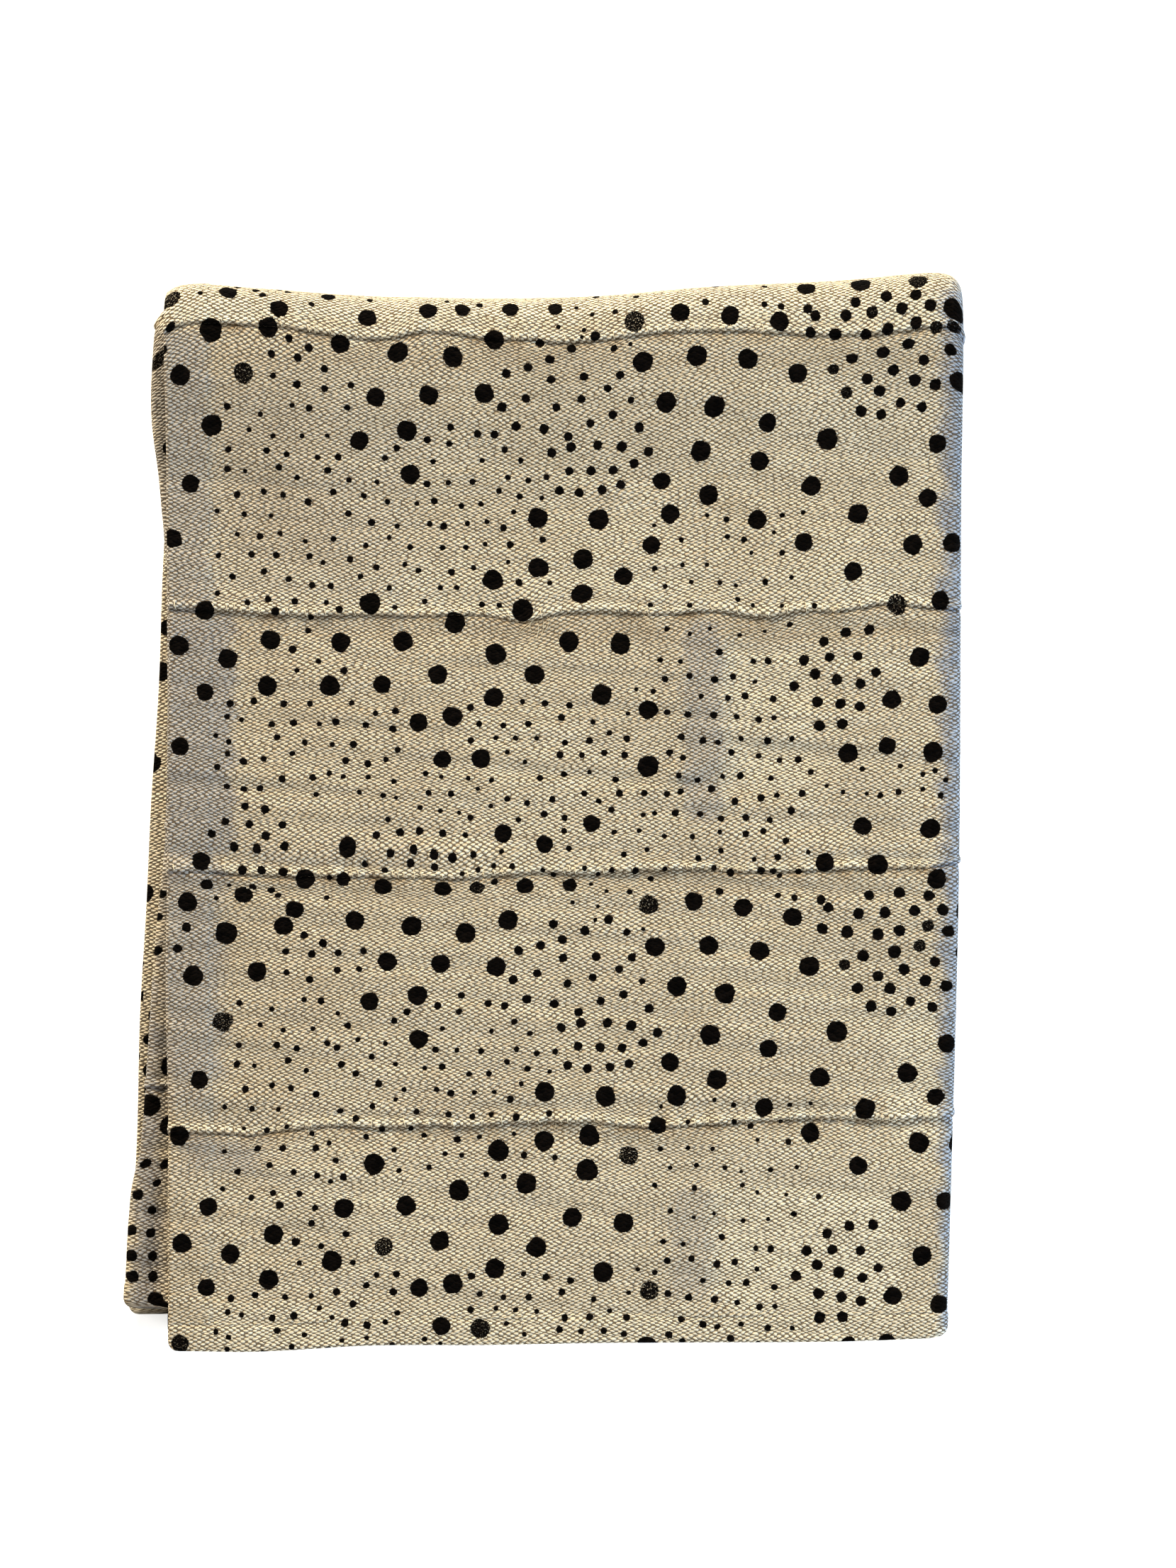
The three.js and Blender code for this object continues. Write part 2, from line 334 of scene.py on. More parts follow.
def relief(across, height):
    """How far the front stands above its even lie."""
    rise = np.zeros_like(across)
    for spot in SWELLS:
        dx, dy = (across - spot["at"]) / spot["across"], (height - spot["up"]) / spot["along"]
        rise = rise + spot["rise"] * np.exp(-dx * dx - dy * dy)
    for fold in CREASES:
        turn = math.radians(fold["turn"])
        dx, dy = across - fold["at"], height - fold["up"]
        run, off = dx * math.cos(turn) + dy * math.sin(turn), dy * math.cos(turn) - dx * math.sin(turn)
        rise = rise + fold["rise"] * np.exp(-((run / fold["long"]) ** 2) - (off / fold["wide"]) ** 2)
    for step in STEPS:
        reach = soft((height - step["low"]) / 14) * soft((step["high"] - height) / 14)
        down = soft((across - step["at"] + step["half"]) / (2 * step["half"]))
        back = soft((across - step["at"] - step["half"]) / step["back"])
        rise = rise - step["drop"] * reach * down * (1 - back)
    for order, (size, long, wide) in enumerate(RIPPLES):
        rise = rise + size * ripple(across, height, SEED + order, long, wide)
    return rise


def pucker(across, up):
    """Gathers where the sewing thread pulls, close to each sewn line."""
    total = np.zeros_like(across)
    for index, mark in enumerate(SEAM_MARKS[1:]):
        near = bell(up - mark, PUCKER_REACH)
        total = total + near * PUCKER * ripple(across, up, SEED + 10 + index, 17.0, 60.0)
    return total


def place(across, up, layer):
    """The point of the stack that lies so far across and up the cloth, and so many layers down."""
    centre, start, end = roll_stops(across)
    under = line_at(across, "under")
    low = CLOTH / 2
    high = low + LAYER_PITCH * (2 * BOOK_LAYERS - 1)
    roll_high = low + 2 * ROLL_RADIUS
    radius = ROLL_RADIUS - ROLL_PITCH * layer
    half_arc = math.pi / 2 * radius
    from_middle = up - (start + end) / 2
    zone = (end - start) / 2 + ROLL_EASE
    eased = np.where(
        np.abs(from_middle) < zone,
        from_middle * (half_arc + ROLL_EASE) / zone,
        np.sign(from_middle) * (np.abs(from_middle) - zone + half_arc + ROLL_EASE),
    )
    on_arc = np.abs(eased) < half_arc
    front = eased < 0
    turn = np.clip((eased + half_arc) / radius, 0, math.pi)
    flat = np.maximum(np.abs(eased) - half_arc, 0)
    line = np.where(front, start - flat, SEAM_MARKS[-1])
    height = np.where(front, front_height(across, line), under - (end + flat - ROLL_END_MARK))
    puff = 1 - soft((centre - height) / ROLL_REACH)
    pitch = mix(LAYER_PITCH, ROLL_PITCH, puff)
    upper = mix(high, roll_high, puff) + (1 - puff) * relief(across, height) + pucker(across, line)
    drawn = wander(across, np.where(front, line, 0.0)) * np.where(front, 1.0, 0.0)
    z = np.where(front, upper - pitch * layer, low + pitch * layer)
    arc_y = centre + radius * np.sin(turn) + drawn * np.cos(turn) * np.where(front, 1.0, 0.0)
    arc_z = low + ROLL_RADIUS + radius * np.cos(turn) + pucker(across, line) * np.clip(np.cos(turn), 0, 1)
    y = np.where(on_arc, arc_y, height + drawn)
    return np.stack([across, y, np.where(on_arc, arc_z, z)], -1)


def middle(along, up, rounded=True):
    """The middle of the cloth's thickness, and the length of cloth up to there. A whole number of along is
    the end of a layer or of a bend: front, right bend, second layer, left bend, third, right bend, last."""
    run = np.minimum(np.floor(along).astype(int), 6)
    share = along - run
    way = up + np.interp(along, SHIFT_RUNS, SHIFTS)
    left, right = left_end(way), right_end(way)
    inner = right - INNER_SET_BACK
    edge = 0.5 * np.sin(up / 41) + 0.3 * np.sin(up / 17 + 1)
    wide_bend = math.pi * (1.5 * LAYER_PITCH + OUTER_BEND) / 2
    tight_bend = math.pi * (LAYER_PITCH / 2 + INNER_BEND) / 2
    used = right - edge + (right - left) + (inner - left) + wide_bend + 2 * tight_bend
    end = inner - (CLOTH_LENGTH - used)
    to_corner = np.clip(1 - np.minimum(up, CLOTH_WIDTH - up) / CORNER, 0, 1)
    corner = CORNER * (1 - np.sqrt(1 - to_corner ** 2)) * rounded
    left, right, inner, edge, end = left + corner, right - corner, inner - corner, edge + corner, end + corner
    turn = math.pi * share
    across = np.choose(run, [
        mix(edge, right, share), right + OUTER_BEND * np.sin(turn), mix(right, left, share),
        left - INNER_BEND * np.sin(turn), mix(left, inner, share), inner + INNER_BEND * np.sin(turn),
        mix(inner, end, share),
    ])
    layer = np.choose(run, [
        0 * share, 1.5 * (1 - np.cos(turn)), 0 * share + 3, 2.5 + 0.5 * np.cos(turn),
        0 * share + 2, 1.5 + 0.5 * np.cos(turn), 0 * share + 1,
    ])
    ends = [right]
    for part in (wide_bend, right - left, tight_bend, inner - left, tight_bend):
        ends.append(ends[-1] + part)
    length = np.choose(run, [
        across, ends[0] + share * wide_bend, ends[1] + right - across, ends[2] + share * tight_bend,
        ends[3] + across - left, ends[4] + share * tight_bend, ends[5] + inner - across,
    ])
    return place(across, way, layer), length


# how finely the sheets are divided, and how their edges and hems are shaped
FRONT_COLUMNS = 236
FRONT_COLUMNS_QUICK = 90
FINE_ROW = 2.1
QUICK_ROW = 5.0
HIDDEN_ROW = 9.0
LEAST_ROW = 0.22
END_ROUND = 0.0034
EDGE_ROUND = 1.3
LEAST_ROUND = 0.06
HEM_GROOVE = 0.55
SEAM_THINNING = 0.3


def run_stops(count, ends=()):
    inner = np.linspace(0, 1, count + 1)
    return np.unique(np.round(np.concatenate([inner, ends]), 6))


def column_stops(quick):
    """Stops along the strips, one whole number for each layer or bend, closer at the ends and the bends."""
    near = [0.0008, 0.002, END_ROUND]
    hem = [0.0505, END_HEM_NEAR, 0.0535, 0.055, 0.0565, END_HEM_FAR]
    fine = FRONT_COLUMNS_QUICK if quick else FRONT_COLUMNS
    runs = [
        run_stops(fine, near + hem),
        run_stops(14),
        run_stops(36, [0.97, 0.985, 0.993]),
        run_stops(10),
        run_stops(44, [0.004, 0.009, 0.015, 0.03, 0.05, 0.07]),
        run_stops(8),
        run_stops(30, [1 - x for x in near + hem]),
    ]
    return np.unique(np.concatenate([index + run for index, run in enumerate(runs)]))


def row_stops(width, fine, hem_low, hem_high, quick):
    """Stops across one strip, closer at its edges and at a hem's crease."""
    step = (QUICK_ROW if quick else FINE_ROW) if fine else HIDDEN_ROW
    near = [0.0, 0.35, 0.8, 1.3, 1.9, 2.6, 3.5, 4.6]
    stops = list(np.linspace(0, width, max(4, round(width / step)) + 1)) + near + [width - x for x in near]
    hem = [HEM_CREASE + x for x in (-1.6, -1.0, -0.6, -0.3, 0, 0.3, 0.6, 1.0, 1.6)]
    stops += hem if hem_low else []
    stops += [width - x for x in hem] if hem_high else []
    stops = np.unique(np.round(np.array(stops), 3))
    keep = [stops[0]]
    for stop in stops[1:]:
        if stop - keep[-1] > LEAST_ROW:
            keep.append(stop)
    return np.array(keep)


def half_thickness(along, up, to_low, to_high):
    """Half the cloth's thickness: hems, rolled seam edges and rounded outer edges."""
    from_end = np.minimum(along, 7 - along)
    end_hem = 1 - soft((from_end - END_HEM_NEAR) / (END_HEM_FAR - END_HEM_NEAR))
    from_hem = np.minimum(up, CLOTH_WIDTH - up)
    long_hem = 1 - soft((from_hem - HEM_CREASE) / HEM_STEP)
    groove = bell(from_hem - HEM_CREASE, 0.7) * HEM_GROOVE
    hem = HEM_RISE * np.maximum(end_hem, long_hem) - groove
    edge = np.minimum(to_low, to_high)
    half = CLOTH / 2 + hem - SEAM_THINNING * bell(edge, 2.0) * (from_hem > 20)
    rounding = np.sqrt(np.clip(1 - (1 - np.clip(edge / EDGE_ROUND, 0, 1)) ** 2, LEAST_ROUND, 1))
    ends = np.clip(from_end / END_ROUND, 0, 1)
    rounding = rounding * np.sqrt(np.clip(1 - (1 - ends) ** 2, LEAST_ROUND, 1))
    return half * rounding


def seam_knobs(length, seed):
    """Uneven knobs along a sewn edge, about -1 to 1."""
    flat = length * 0
    return 0.5 * ripple(length, flat, seed, 6.4, 50.0) + 0.5 * ripple(length, flat, seed + 1, 23.0, 50.0)


def seam_lift(length, to_low, to_high, seed):
    """The upper strip's sewn edge stands up in a knobbly ridge, and the lower strip's edge dips under it."""
    knob = np.clip(1 + 0.4 * seam_knobs(length, seed), 0.4, 1.7)
    return bell(to_low - 1.2, 1.35) * knob * 0.95 - bell(to_high, 3.2) * 0.6


def seam_reach(length, to_low, seed):
    """How far the upper strip's edge laps down over the lower strip."""
    return (SEAM_LAP + 0.45 * seam_knobs(length, seed + 7)) * bell(to_low, 1.8)


def grid_faces(rows, cols, base, flip):
    index = base + np.arange(rows * cols).reshape(rows, cols)
    quads = np.stack([index[:-1, :-1], index[:-1, 1:], index[1:, 1:], index[1:, :-1]], -1).reshape(-1, 4)
    return quads[:, ::-1] if flip else quads


def rim_faces(rows, cols):
    top = np.arange(rows * cols).reshape(rows, cols)
    low = top + rows * cols
    sides = []
    for upper, lower in ((top[0], low[0]), (top[:, -1], low[:, -1]), (top[-1, ::-1], low[-1, ::-1]),
                         (top[::-1, 0], low[::-1, 0])):
        sides.append(np.stack([lower[:-1], lower[1:], upper[1:], upper[:-1]], -1))
    return np.concatenate(sides)


def add_thing(name, data):
    thing = bpy.data.objects.new(name, data)
    bpy.context.scene.collection.objects.link(thing)
    return thing


def build_mesh(name, points, faces):
    mesh = bpy.data.meshes.new(name)
    mesh.vertices.add(len(points))
    mesh.vertices.foreach_set("co", np.asarray(points, np.float32).ravel())
    mesh.loops.add(faces.size)
    mesh.loops.foreach_set("vertex_index", faces.astype(np.int32).ravel())
    mesh.polygons.add(len(faces))
    mesh.polygons.foreach_set("loop_start", np.arange(0, faces.size, faces.shape[1], dtype=np.int32))
    mesh.polygons.foreach_set("use_smooth", np.ones(len(faces), bool))
    mesh.update(calc_edges=True)
    mesh.validate()
    return add_thing(name, mesh)


def skin_at(along, up, low, high, seed):
    """Points of the printed and the plain face of one strip, and the length of cloth up to there."""
    step_along, step_up = 0.003, 0.15
    none = np.full_like(up, FAR_AWAY)
    to_low, to_high = up - low, high - up
    seam_low = none if low == 0 else to_low
    seam_high = none if high > CLOTH_WIDTH - 1 else to_high
    length = middle(along, up)[1]
    set_up = up - seam_reach(length, seam_low, seed)
    point = middle(along, set_up)[0]
    before = middle(np.maximum(along - step_along, 0), set_up, False)[0]
    after = middle(np.minimum(along + step_along, 7), set_up, False)[0]
    below, above = middle(along, set_up - step_up, False)[0], middle(along, set_up + step_up, False)[0]
    normal = unit(np.cross(after - before, above - below))
    half = half_thickness(along, up, to_low, to_high)
    seen = (along < 1.6) | ((along > 2.9) & (along < 4.4))
    lift = seam_lift(length, seam_low, seam_high, seed) * np.where(seen, 1.0, 0.35)
    top = point + normal * (half + lift)[..., None]
    bottom = point - normal * (half - lift)[..., None]
    top[..., 2], bottom[..., 2] = np.maximum(top[..., 2], 0), np.maximum(bottom[..., 2], 0)
    return top, bottom, length


def cloth_skin(columns, rows, low, high, seed):
    along, up = np.meshgrid(columns, low + rows)
    top, bottom, length = skin_at(along, up, low, high, seed)
    return top, bottom, length, up


# the dots, charted on squares of 0.375 mm, counted right and down from the chart's corner
SQUARE = 0.375
CHART_LEFT = 213.4
CHART_FOOT = 1722.4

# rows of large dots: from one end to the other, how far the row bows down, how many and how wide
LARGE_ROWS = table(
    "x0 y0 x1 y1 bow count size",
    (221, 384, 295, 380, 0, 2, 8.6),
    (358, 398, 346, 420, 0, 2, 8.4),
    (470, 404, 545, 405, 0, 2, 8.2),
    (596, 401, 708, 391, 0, 3, 7.6),
    (811, 413, 993, 415, -9, 4, 8.8),
    (1028, 366, 1174, 358, -1, 3, 8.4),
    (1216, 392, 1226, 485, 0, 2, 9.0),
    (272, 427, 272, 427, 0, 1, 9.8),
    (434, 438, 582, 459, 4, 3, 9.0),
    (229, 478, 315, 478, 0, 2, 9.6),
    (631, 437, 631, 437, 0, 1, 8.2),
    (478, 509, 619, 503, -4, 3, 8.6),
    (459, 563, 459, 563, 0, 1, 8.2),
    (521, 548, 523, 604, 0, 2, 8.6),
    (268, 544, 227, 688, 0, 3, 8.8),
    (261, 779, 261, 779, 0, 1, 8.4),
    (472, 770, 472, 770, 0, 1, 9.4),
    (820, 467, 1019, 477, -9, 4, 8.8),
    (849, 518, 1052, 563, -10, 4, 9.0),
    (893, 580, 1035, 623, -13, 3, 8.4),
    (845, 614, 1148, 773, -17, 6, 8.4),
    (856, 658, 797, 740, 0, 3, 8.2),
    (686, 661, 762, 664, 0, 2, 9.2),
    (632, 743, 745, 715, -5, 3, 8.8),
    (581, 795, 744, 761, 0, 3, 9.2),
    (1091, 656, 1196, 563, -4, 3, 8.6),
    (1161, 694, 1177, 632, 0, 2, 8.6),
    (1219, 691, 1179, 838, 0, 3, 8.8),
    (229, 824, 295, 841, 0, 2, 9.0),
    (350, 816, 517, 821, 4, 3, 8.8),
    (343, 874, 632, 835, 19, 5, 8.8),
    (262, 888, 236, 960, 0, 2, 8.2),
    (530, 922, 729, 818, 20, 5, 8.8),
    (561, 972, 613, 971, 0, 2, 8.0),
    (763, 887, 790, 828, 0, 2, 8.8),
    (827, 906, 827, 978, 0, 2, 8.8),
    (1081, 961, 1185, 957, -7, 3, 8.4),
    (1135, 892, 1197, 899, 0, 2, 8.4),
    (1096, 1052, 1188, 1059, 0, 2, 8.2),
    (1050, 1100, 1196, 1122, -8, 3, 8.6),
    (641, 1067, 753, 1047, 18, 3, 7.8),
    (445, 1080, 392, 1121, 0, 2, 8.0),
    (257, 1098, 257, 1098, 0, 1, 8.6),
)

# rows of middling dots
MIDDLE_ROWS = table(
    "x0 y0 x1 y1 bow count size",
    (1089, 386, 1163, 379, -3, 3, 5.0),
    (1025, 394, 1041, 402, 0, 2, 4.4),
    (1075, 409, 1184, 396, -1, 4, 5.2),
    (1165, 415, 1217, 421, 8, 3, 5.4),
    (1030, 430, 1132, 426, 5, 4, 5.4),
    (1087, 461, 1157, 443, 0, 3, 5.6),
    (1105, 487, 1211, 449, 0, 4, 5.2),
    (1062, 473, 1081, 505, 0, 2, 5.0),
    (1164, 491, 1190, 491, 0, 2, 5.2),
    (1121, 503, 1174, 524, 0, 3, 4.6),
    (1095, 528, 1122, 532, 0, 2, 4.8),
    (647, 479, 761, 432, 6, 5, 4.2),
    (700, 488, 791, 481, 0, 3, 3.8),
    (689, 441, 689, 441, 0, 1, 4.0),
    (781, 450, 808, 512, 0, 2, 3.2),
    (644, 521, 674, 512, 0, 2, 4.0),
    (712, 521, 774, 500, 0, 3, 3.8),
    (662, 542, 725, 555, 0, 3, 4.2),
    (756, 543, 780, 530, 0, 2, 4.0),
    (815, 547, 815, 547, 0, 1, 4.0),
    (581, 545, 634, 557, 5, 3, 3.4),
    (702, 579, 823, 577, -9, 5, 4.4),
    (726, 602, 810, 593, 4, 4, 4.2),
    (645, 574, 667, 588, 0, 2, 2.8),
    (649, 610, 698, 610, 3, 3, 2.8),
    (714, 627, 795, 618, 5, 4, 4.0),
    (1050, 818, 1108, 806, -6, 3, 4.6),
    (1023, 841, 1099, 837, -2, 3, 4.6),
    (1042, 861, 1094, 872, 0, 3, 4.6),
    (1117, 858, 1117, 858, 0, 1, 4.2),
    (1013, 875, 1013, 875, 0, 1, 4.4),
    (1044, 896, 1097, 901, -2, 3, 4.8),
    (1048, 925, 1073, 926, 0, 2, 5.0),
    (314, 1030, 339, 1031, 0, 2, 3.8),
    (289, 1048, 359, 1050, 3, 3, 3.4),
    (270, 1063, 340, 1066, 0, 2, 3.6),
    (295, 1080, 360, 1081, 0, 3, 3.8),
    (310, 1109, 363, 1115, 0, 3, 3.8),
    (479, 1065, 566, 1062, -2, 4, 3.4),
    (500, 1088, 577, 1094, -6, 4, 3.6),
    (524, 1102, 553, 1107, 0, 2, 3.6),
    (374, 434, 396, 446, 0, 2, 3.6),
    (349, 454, 416, 474, -3, 3, 3.4),
    (351, 481, 445, 494, 9, 4, 3.0),
    (301, 369, 355, 371, 2, 3, 3.2),
    (335, 383, 366, 376, 0, 2, 3.0),
    (472, 381, 472, 381, 0, 1, 3.0),
    (246, 364, 417, 378, 0, 2, 6.0),
    (217, 418, 212, 446, 0, 2, 4.4),
)

# fields of small dots in leaning rows
SMALL_FIELDS = table(
    "left right top foot gap_x gap_y lean size",
    (245, 460, 366, 400, 27, 12, 0.1, 2.3),
    (470, 800, 374, 396, 30, 13, 0.1, 2.2),
    (700, 820, 398, 440, 26, 20, 0.1, 2.4),
    (285, 660, 552, 764, 32, 26, 0.42, 2.7),
    (300, 440, 520, 556, 34, 28, 0.3, 2.6),
    (268, 520, 896, 1012, 30, 22, 0.36, 2.9),
    (500, 640, 990, 1058, 32, 24, -0.3, 2.4),
    (600, 830, 900, 1058, 30, 24, -0.4, 2.7),
    (560, 1040, 1058, 1116, 32, 23, 0.2, 2.6),
    (835, 1035, 662, 836, 32, 29, -0.4, 2.3),
    (835, 1036, 836, 1058, 29, 25, 0.34, 2.8),
    (1040, 1216, 986, 1012, 25, 24, 0.0, 2.3),
    (610, 830, 372, 398, 29, 12, 0.1, 2.8),
    (880, 1010, 362, 392, 30, 14, 0.1, 3.0),
    (300, 430, 366, 380, 27, 10, 0.1, 3.0),
    (560, 700, 640, 780, 34, 27, -0.3, 2.6),
    (350, 480, 780, 812, 29, 24, 0.2, 3.0),
    (370, 470, 836, 860, 29, 21, 0.2, 3.0),
)

# the pattern comes again further down: how far, by the place across, and how much lower its first rows lie
AGAIN = table(
    "x down first",
    (210, 762, 4),
    (395, 755, 2),
    (445, 713, 15),
    (620, 727, 9),
    (800, 738, 3),
    (1000, 751, 2),
    (1230, 767, 0),
)

# dots on the part of the under layers that stands out at the left, by place across and height
SIDE_DOTS = table(
    "at height size",
    (-2.7, 218, 3.8),
    (-4.4, 207, 3.8),
    (-5.0, 191, 4.2),
    (-9.0, 117, 9.0),
    (-10.5, 89, 4.6),
    (-1.4, 89, 4.6),
    (-5.5, 80, 3.8),
    (-14.2, 74, 4.6),
    (-8.0, 67, 3.8),
    (-17.3, 57, 4.6),
    (-8.6, 56, 4.4),
    (-17.6, 45, 5.0),
    (-7.6, 45, 4.6),
    (-17.0, 35, 5.2),
    (-7.5, 35, 5.0),
    (-5.5, 23, 8.8),
    (0.5, 136, 8.8),
    (0.5, 107, 8.8),
)


# how far up the pattern comes again over the roll, and how far along and up on each layer beneath
UP_AGAIN = (279.0, 558.0)
ROLL_FIRST_DOT = 519
LAYER_ALONG = 386.0
LAYER_UP = 37.0
FRONT_LAST_DOT = 384
DOT_GAP = 3.2
LEAN_SHARE = 0.12

# where the part that stands out at the left is on the flat cloth
LEFT_FOLD_AT = 758.0
LEFT_FOLD_REACH = 34
LEFT_FOLD_HEIGHT = 235
LEFT_FOLD_RUN = 3.9999


def up_at(across, height):
    """How far up the cloth a height on the front is, over the roll as well."""
    across, height = np.atleast_1d(across).astype(float), np.atleast_1d(height).astype(float)
    centre, start, end = roll_stops(across)
    turn = np.arcsin(np.clip((height - centre) / (ROLL_RADIUS + CLOTH / 2), 0, 1))
    up = np.full_like(across, -99.0)
    tries = np.linspace(-10, 500, 1021)
    for index in range(len(across)):
        heights = front_height(np.full_like(tries, across[index]), tries)
        heights = heights + wander(np.full_like(tries, across[index]), tries)
        up[index] = np.interp(height[index], heights, tries)
    return np.where(height > centre, start + turn * (end - start) / math.pi, up)


def chart_row(row):
    share = np.linspace(0, 1, row["count"]) if row["count"] > 1 else np.array([0.5])
    bow = 4 * share * (1 - share) * row["bow"]
    return mix(row["x0"], row["x1"], share), mix(row["y0"], row["y1"], share) + bow


def chart_dots():
    """All charted dots of one repeat: right, down, width."""
    draw = np.random.default_rng(SEED)
    dots = []
    for row, loose in [(row, 3.0) for row in LARGE_ROWS] + [(row, 2.0) for row in MIDDLE_ROWS]:
        spread = 0.0 if row["count"] == 1 else loose
        for x, y in zip(*chart_row(row)):
            x1, y1 = x + draw.normal(0, spread), y + draw.normal(0, spread * 0.8)
            dots.append((x1, y1, row["size"] * draw.normal(1, 0.05)))
    for field in SMALL_FIELDS:
        for index, y in enumerate(np.arange(field["top"], field["foot"], field["gap_y"])):
            start = field["left"] + (index % 2) * field["gap_x"] * 0.5
            for x in np.arange(start, field["right"], field["gap_x"]):
                x1 = x + draw.normal(0, 5)
                y1 = y + (x - field["left"]) * field["lean"] * LEAN_SHARE + draw.normal(0, 4.5)
                size = field["size"] * draw.uniform(0.78, 1.22)
                if draw.random() < 0.05:
                    continue
                far = [math.hypot(x1 - a, y1 - b) * SQUARE - c / 2 - size / 2 for a, b, c in dots]
                if min(far) > DOT_GAP:
                    dots.append((x1, y1, size))
    return np.array(dots)


def cloth_dots():
    """Every dot as length of cloth, way up the cloth, radius and a number of its own."""
    chart = chart_dots()
    found = []
    first = None
    stops = [row["x"] for row in AGAIN]
    for again in range(2):
        down = again * np.interp(chart[:, 0], stops, [row["down"] for row in AGAIN])
        lower = np.interp(chart[:, 0], stops, [row["first"] for row in AGAIN])
        down = down + again * lower * soft((540 - chart[:, 1]) / 110)
        right = 0.0 if again == 0 else 18 - 20 * (chart[:, 1] - 400) / 600
        across = (chart[:, 0] + right - CHART_LEFT) * SQUARE
        height = (CHART_FOOT - chart[:, 1] - down) * SQUARE
        keep = height > -4
        up = up_at(across, height)
        if again:
            gap = np.hypot(across[:, None] - first[:, 0], up[:, None] - first[:, 1])
            keep = keep & ((gap - chart[:, 2:] / 2 - first[:, 2]).min(1) > 1.0)
        found.append(np.stack([across, up, chart[:, 2] / 2], 1)[keep])
        first = found[0] if first is None else first
    for step in UP_AGAIN:
        more = first + [0, step, 0]
        found.append(more[more[:, 1] > ROLL_FIRST_DOT])
    sheet = np.concatenate(found)
    panels = [sheet[sheet[:, 0] < FRONT_LAST_DOT]]
    for panel in range(1, BOOK_LAYERS):
        shifted = sheet + [LAYER_ALONG * panel, LAYER_UP * panel, 0]
        over = shifted[:, 1] > CLOTH_WIDTH
        shifted[:, 1] = np.where(over, shifted[:, 1] - CLOTH_WIDTH, shifted[:, 1])
        panels.append(shifted[shifted[:, 0] > panel * LAYER_ALONG + 1])
    dots = np.concatenate(panels)
    # the part that stands out at the left has its own dots
    side = []
    for spot in SIDE_DOTS:
        up = float(up_at(spot["at"], spot["height"])[0]) - LEFT_SHIFT
        left = float(left_end(np.array([up + LEFT_SHIFT]))[0])
        length = middle(np.array([LEFT_FOLD_RUN]), np.array([up]))[1]
        side.append((float(length[0]) + spot["at"] - left, up, spot["size"] / 2))
    near = np.abs(dots[:, 0] - LEFT_FOLD_AT) < LEFT_FOLD_REACH
    dots = np.concatenate([dots[~near | (dots[:, 1] > LEFT_FOLD_HEIGHT)], np.array(side)])
    draw = np.random.default_rng(SEED + 3)
    return np.concatenate([dots, draw.random((len(dots), 1))], 1)


SEARCH_UP = 5
SEARCH_ALONG = 32


def dot_maps(length, up, dots):
    """For each square of the printed face, which dot is nearest."""
    u = (length[:-1, :-1] + length[:-1, 1:] + length[1:, 1:] + length[1:, :-1]) / 4
    v = (up[:-1, :-1] + up[1:, :-1]) / 2
    best = np.full(u.shape, 1e9)
    which = np.zeros(u.shape, int)
    row_v, mean_u = np.maximum.accumulate(v.mean(1)), u.mean(0)
    for index, (du, dv, radius, _) in enumerate(dots):
        reach_v, reach_u = radius + SEARCH_UP, radius + SEARCH_ALONG
        low, high = np.searchsorted(row_v, [dv - reach_v, dv + reach_v])
        if low == high:
            continue
        left, right = np.searchsorted(mean_u, [du - reach_u, du + reach_u])
        block = np.hypot(u[low:high, left:right] - du, v[low:high, left:right] - dv) - radius
        nearer = block < best[low:high, left:right]
        best[low:high, left:right][nearer] = block[nearer]
        which[low:high, left:right][nearer] = index
    return which.ravel()


# patches of painted shade, where the cloth is greyer and cooler: place across and height, half sizes, how
# soft the edge is, how strong
PAINTED_SHADE_PATCHES = table(
    "at up half_x half_y edge share",
    (11, 293, 21, 58, 6, 0.66),
    (7, 416, 14, 70, 9, 0.5),
    (11, 182, 15, 54, 12, 0.56),
    (26, 94, 18, 8, 15, 0.45),
    (8, 128, 14, 14, 12, 0.35),
    (-10, 90, 6, 90, 9, 0.72),
    (379, 250, 9, 260, 8, 0.74),
    (256, 301, 9, 48, 5, 0.45),
    (250, 52, 9, 26, 6, 0.3),
    (60, 410, 55, 50, 60, 0.22),
    (60, 236, 60, 2, 16, 0.2),
)

# patches of painted light, where the cloth is paler
PAINTED_LIGHT_PATCHES = table(
    "at up half_x half_y edge share",
    (190, 505, 210, 13, 6, 0.62),
    (289, 302, 20, 34, 9, 0.3),
    (308, 48, 44, 30, 14, 0.6),
    (360, 130, 14, 34, 14, 0.5),
    (200, 8, 180, 14, 14, 0.4),
    (60, 72, 50, 5, 14, 0.35),
    (190, 366, 180, 8, 14, 0.2),
    (330, 420, 40, 40, 50, 0.2),
    (200, 60, 170, 34, 50, 0.2),
)

# patches of painted shade, where the cloth is browner
PAINTED_BROWN_SHADE = table(
    "at up half_x half_y edge share",
    (28, 460, 8, 3, 10, 0.2),
    (125, 451, 16, 1, 7, 0.2),
    (190, 473, 200, 5, 12, 0.2),
    (190, 343, 200, 4, 13, 0.3),
    (190, 221, 200, 2, 12, 0.14),
    (150, 100, 200, 2, 13, 0.16),
    (20, 250, 40, 230, 90, 0.24),
    (60, 350, 60, 100, 70, 0.08),
)

# how strong the painted highlight on the sewn ridge is, the painted shade on its edge, and the painted shadow
# on the cloth beneath it
RIDGE_HIGHLIGHT = 0.75
RIM_SHADE = 0.9
SEAM_SHADOW = 0.52
WASH_ROUND = 6


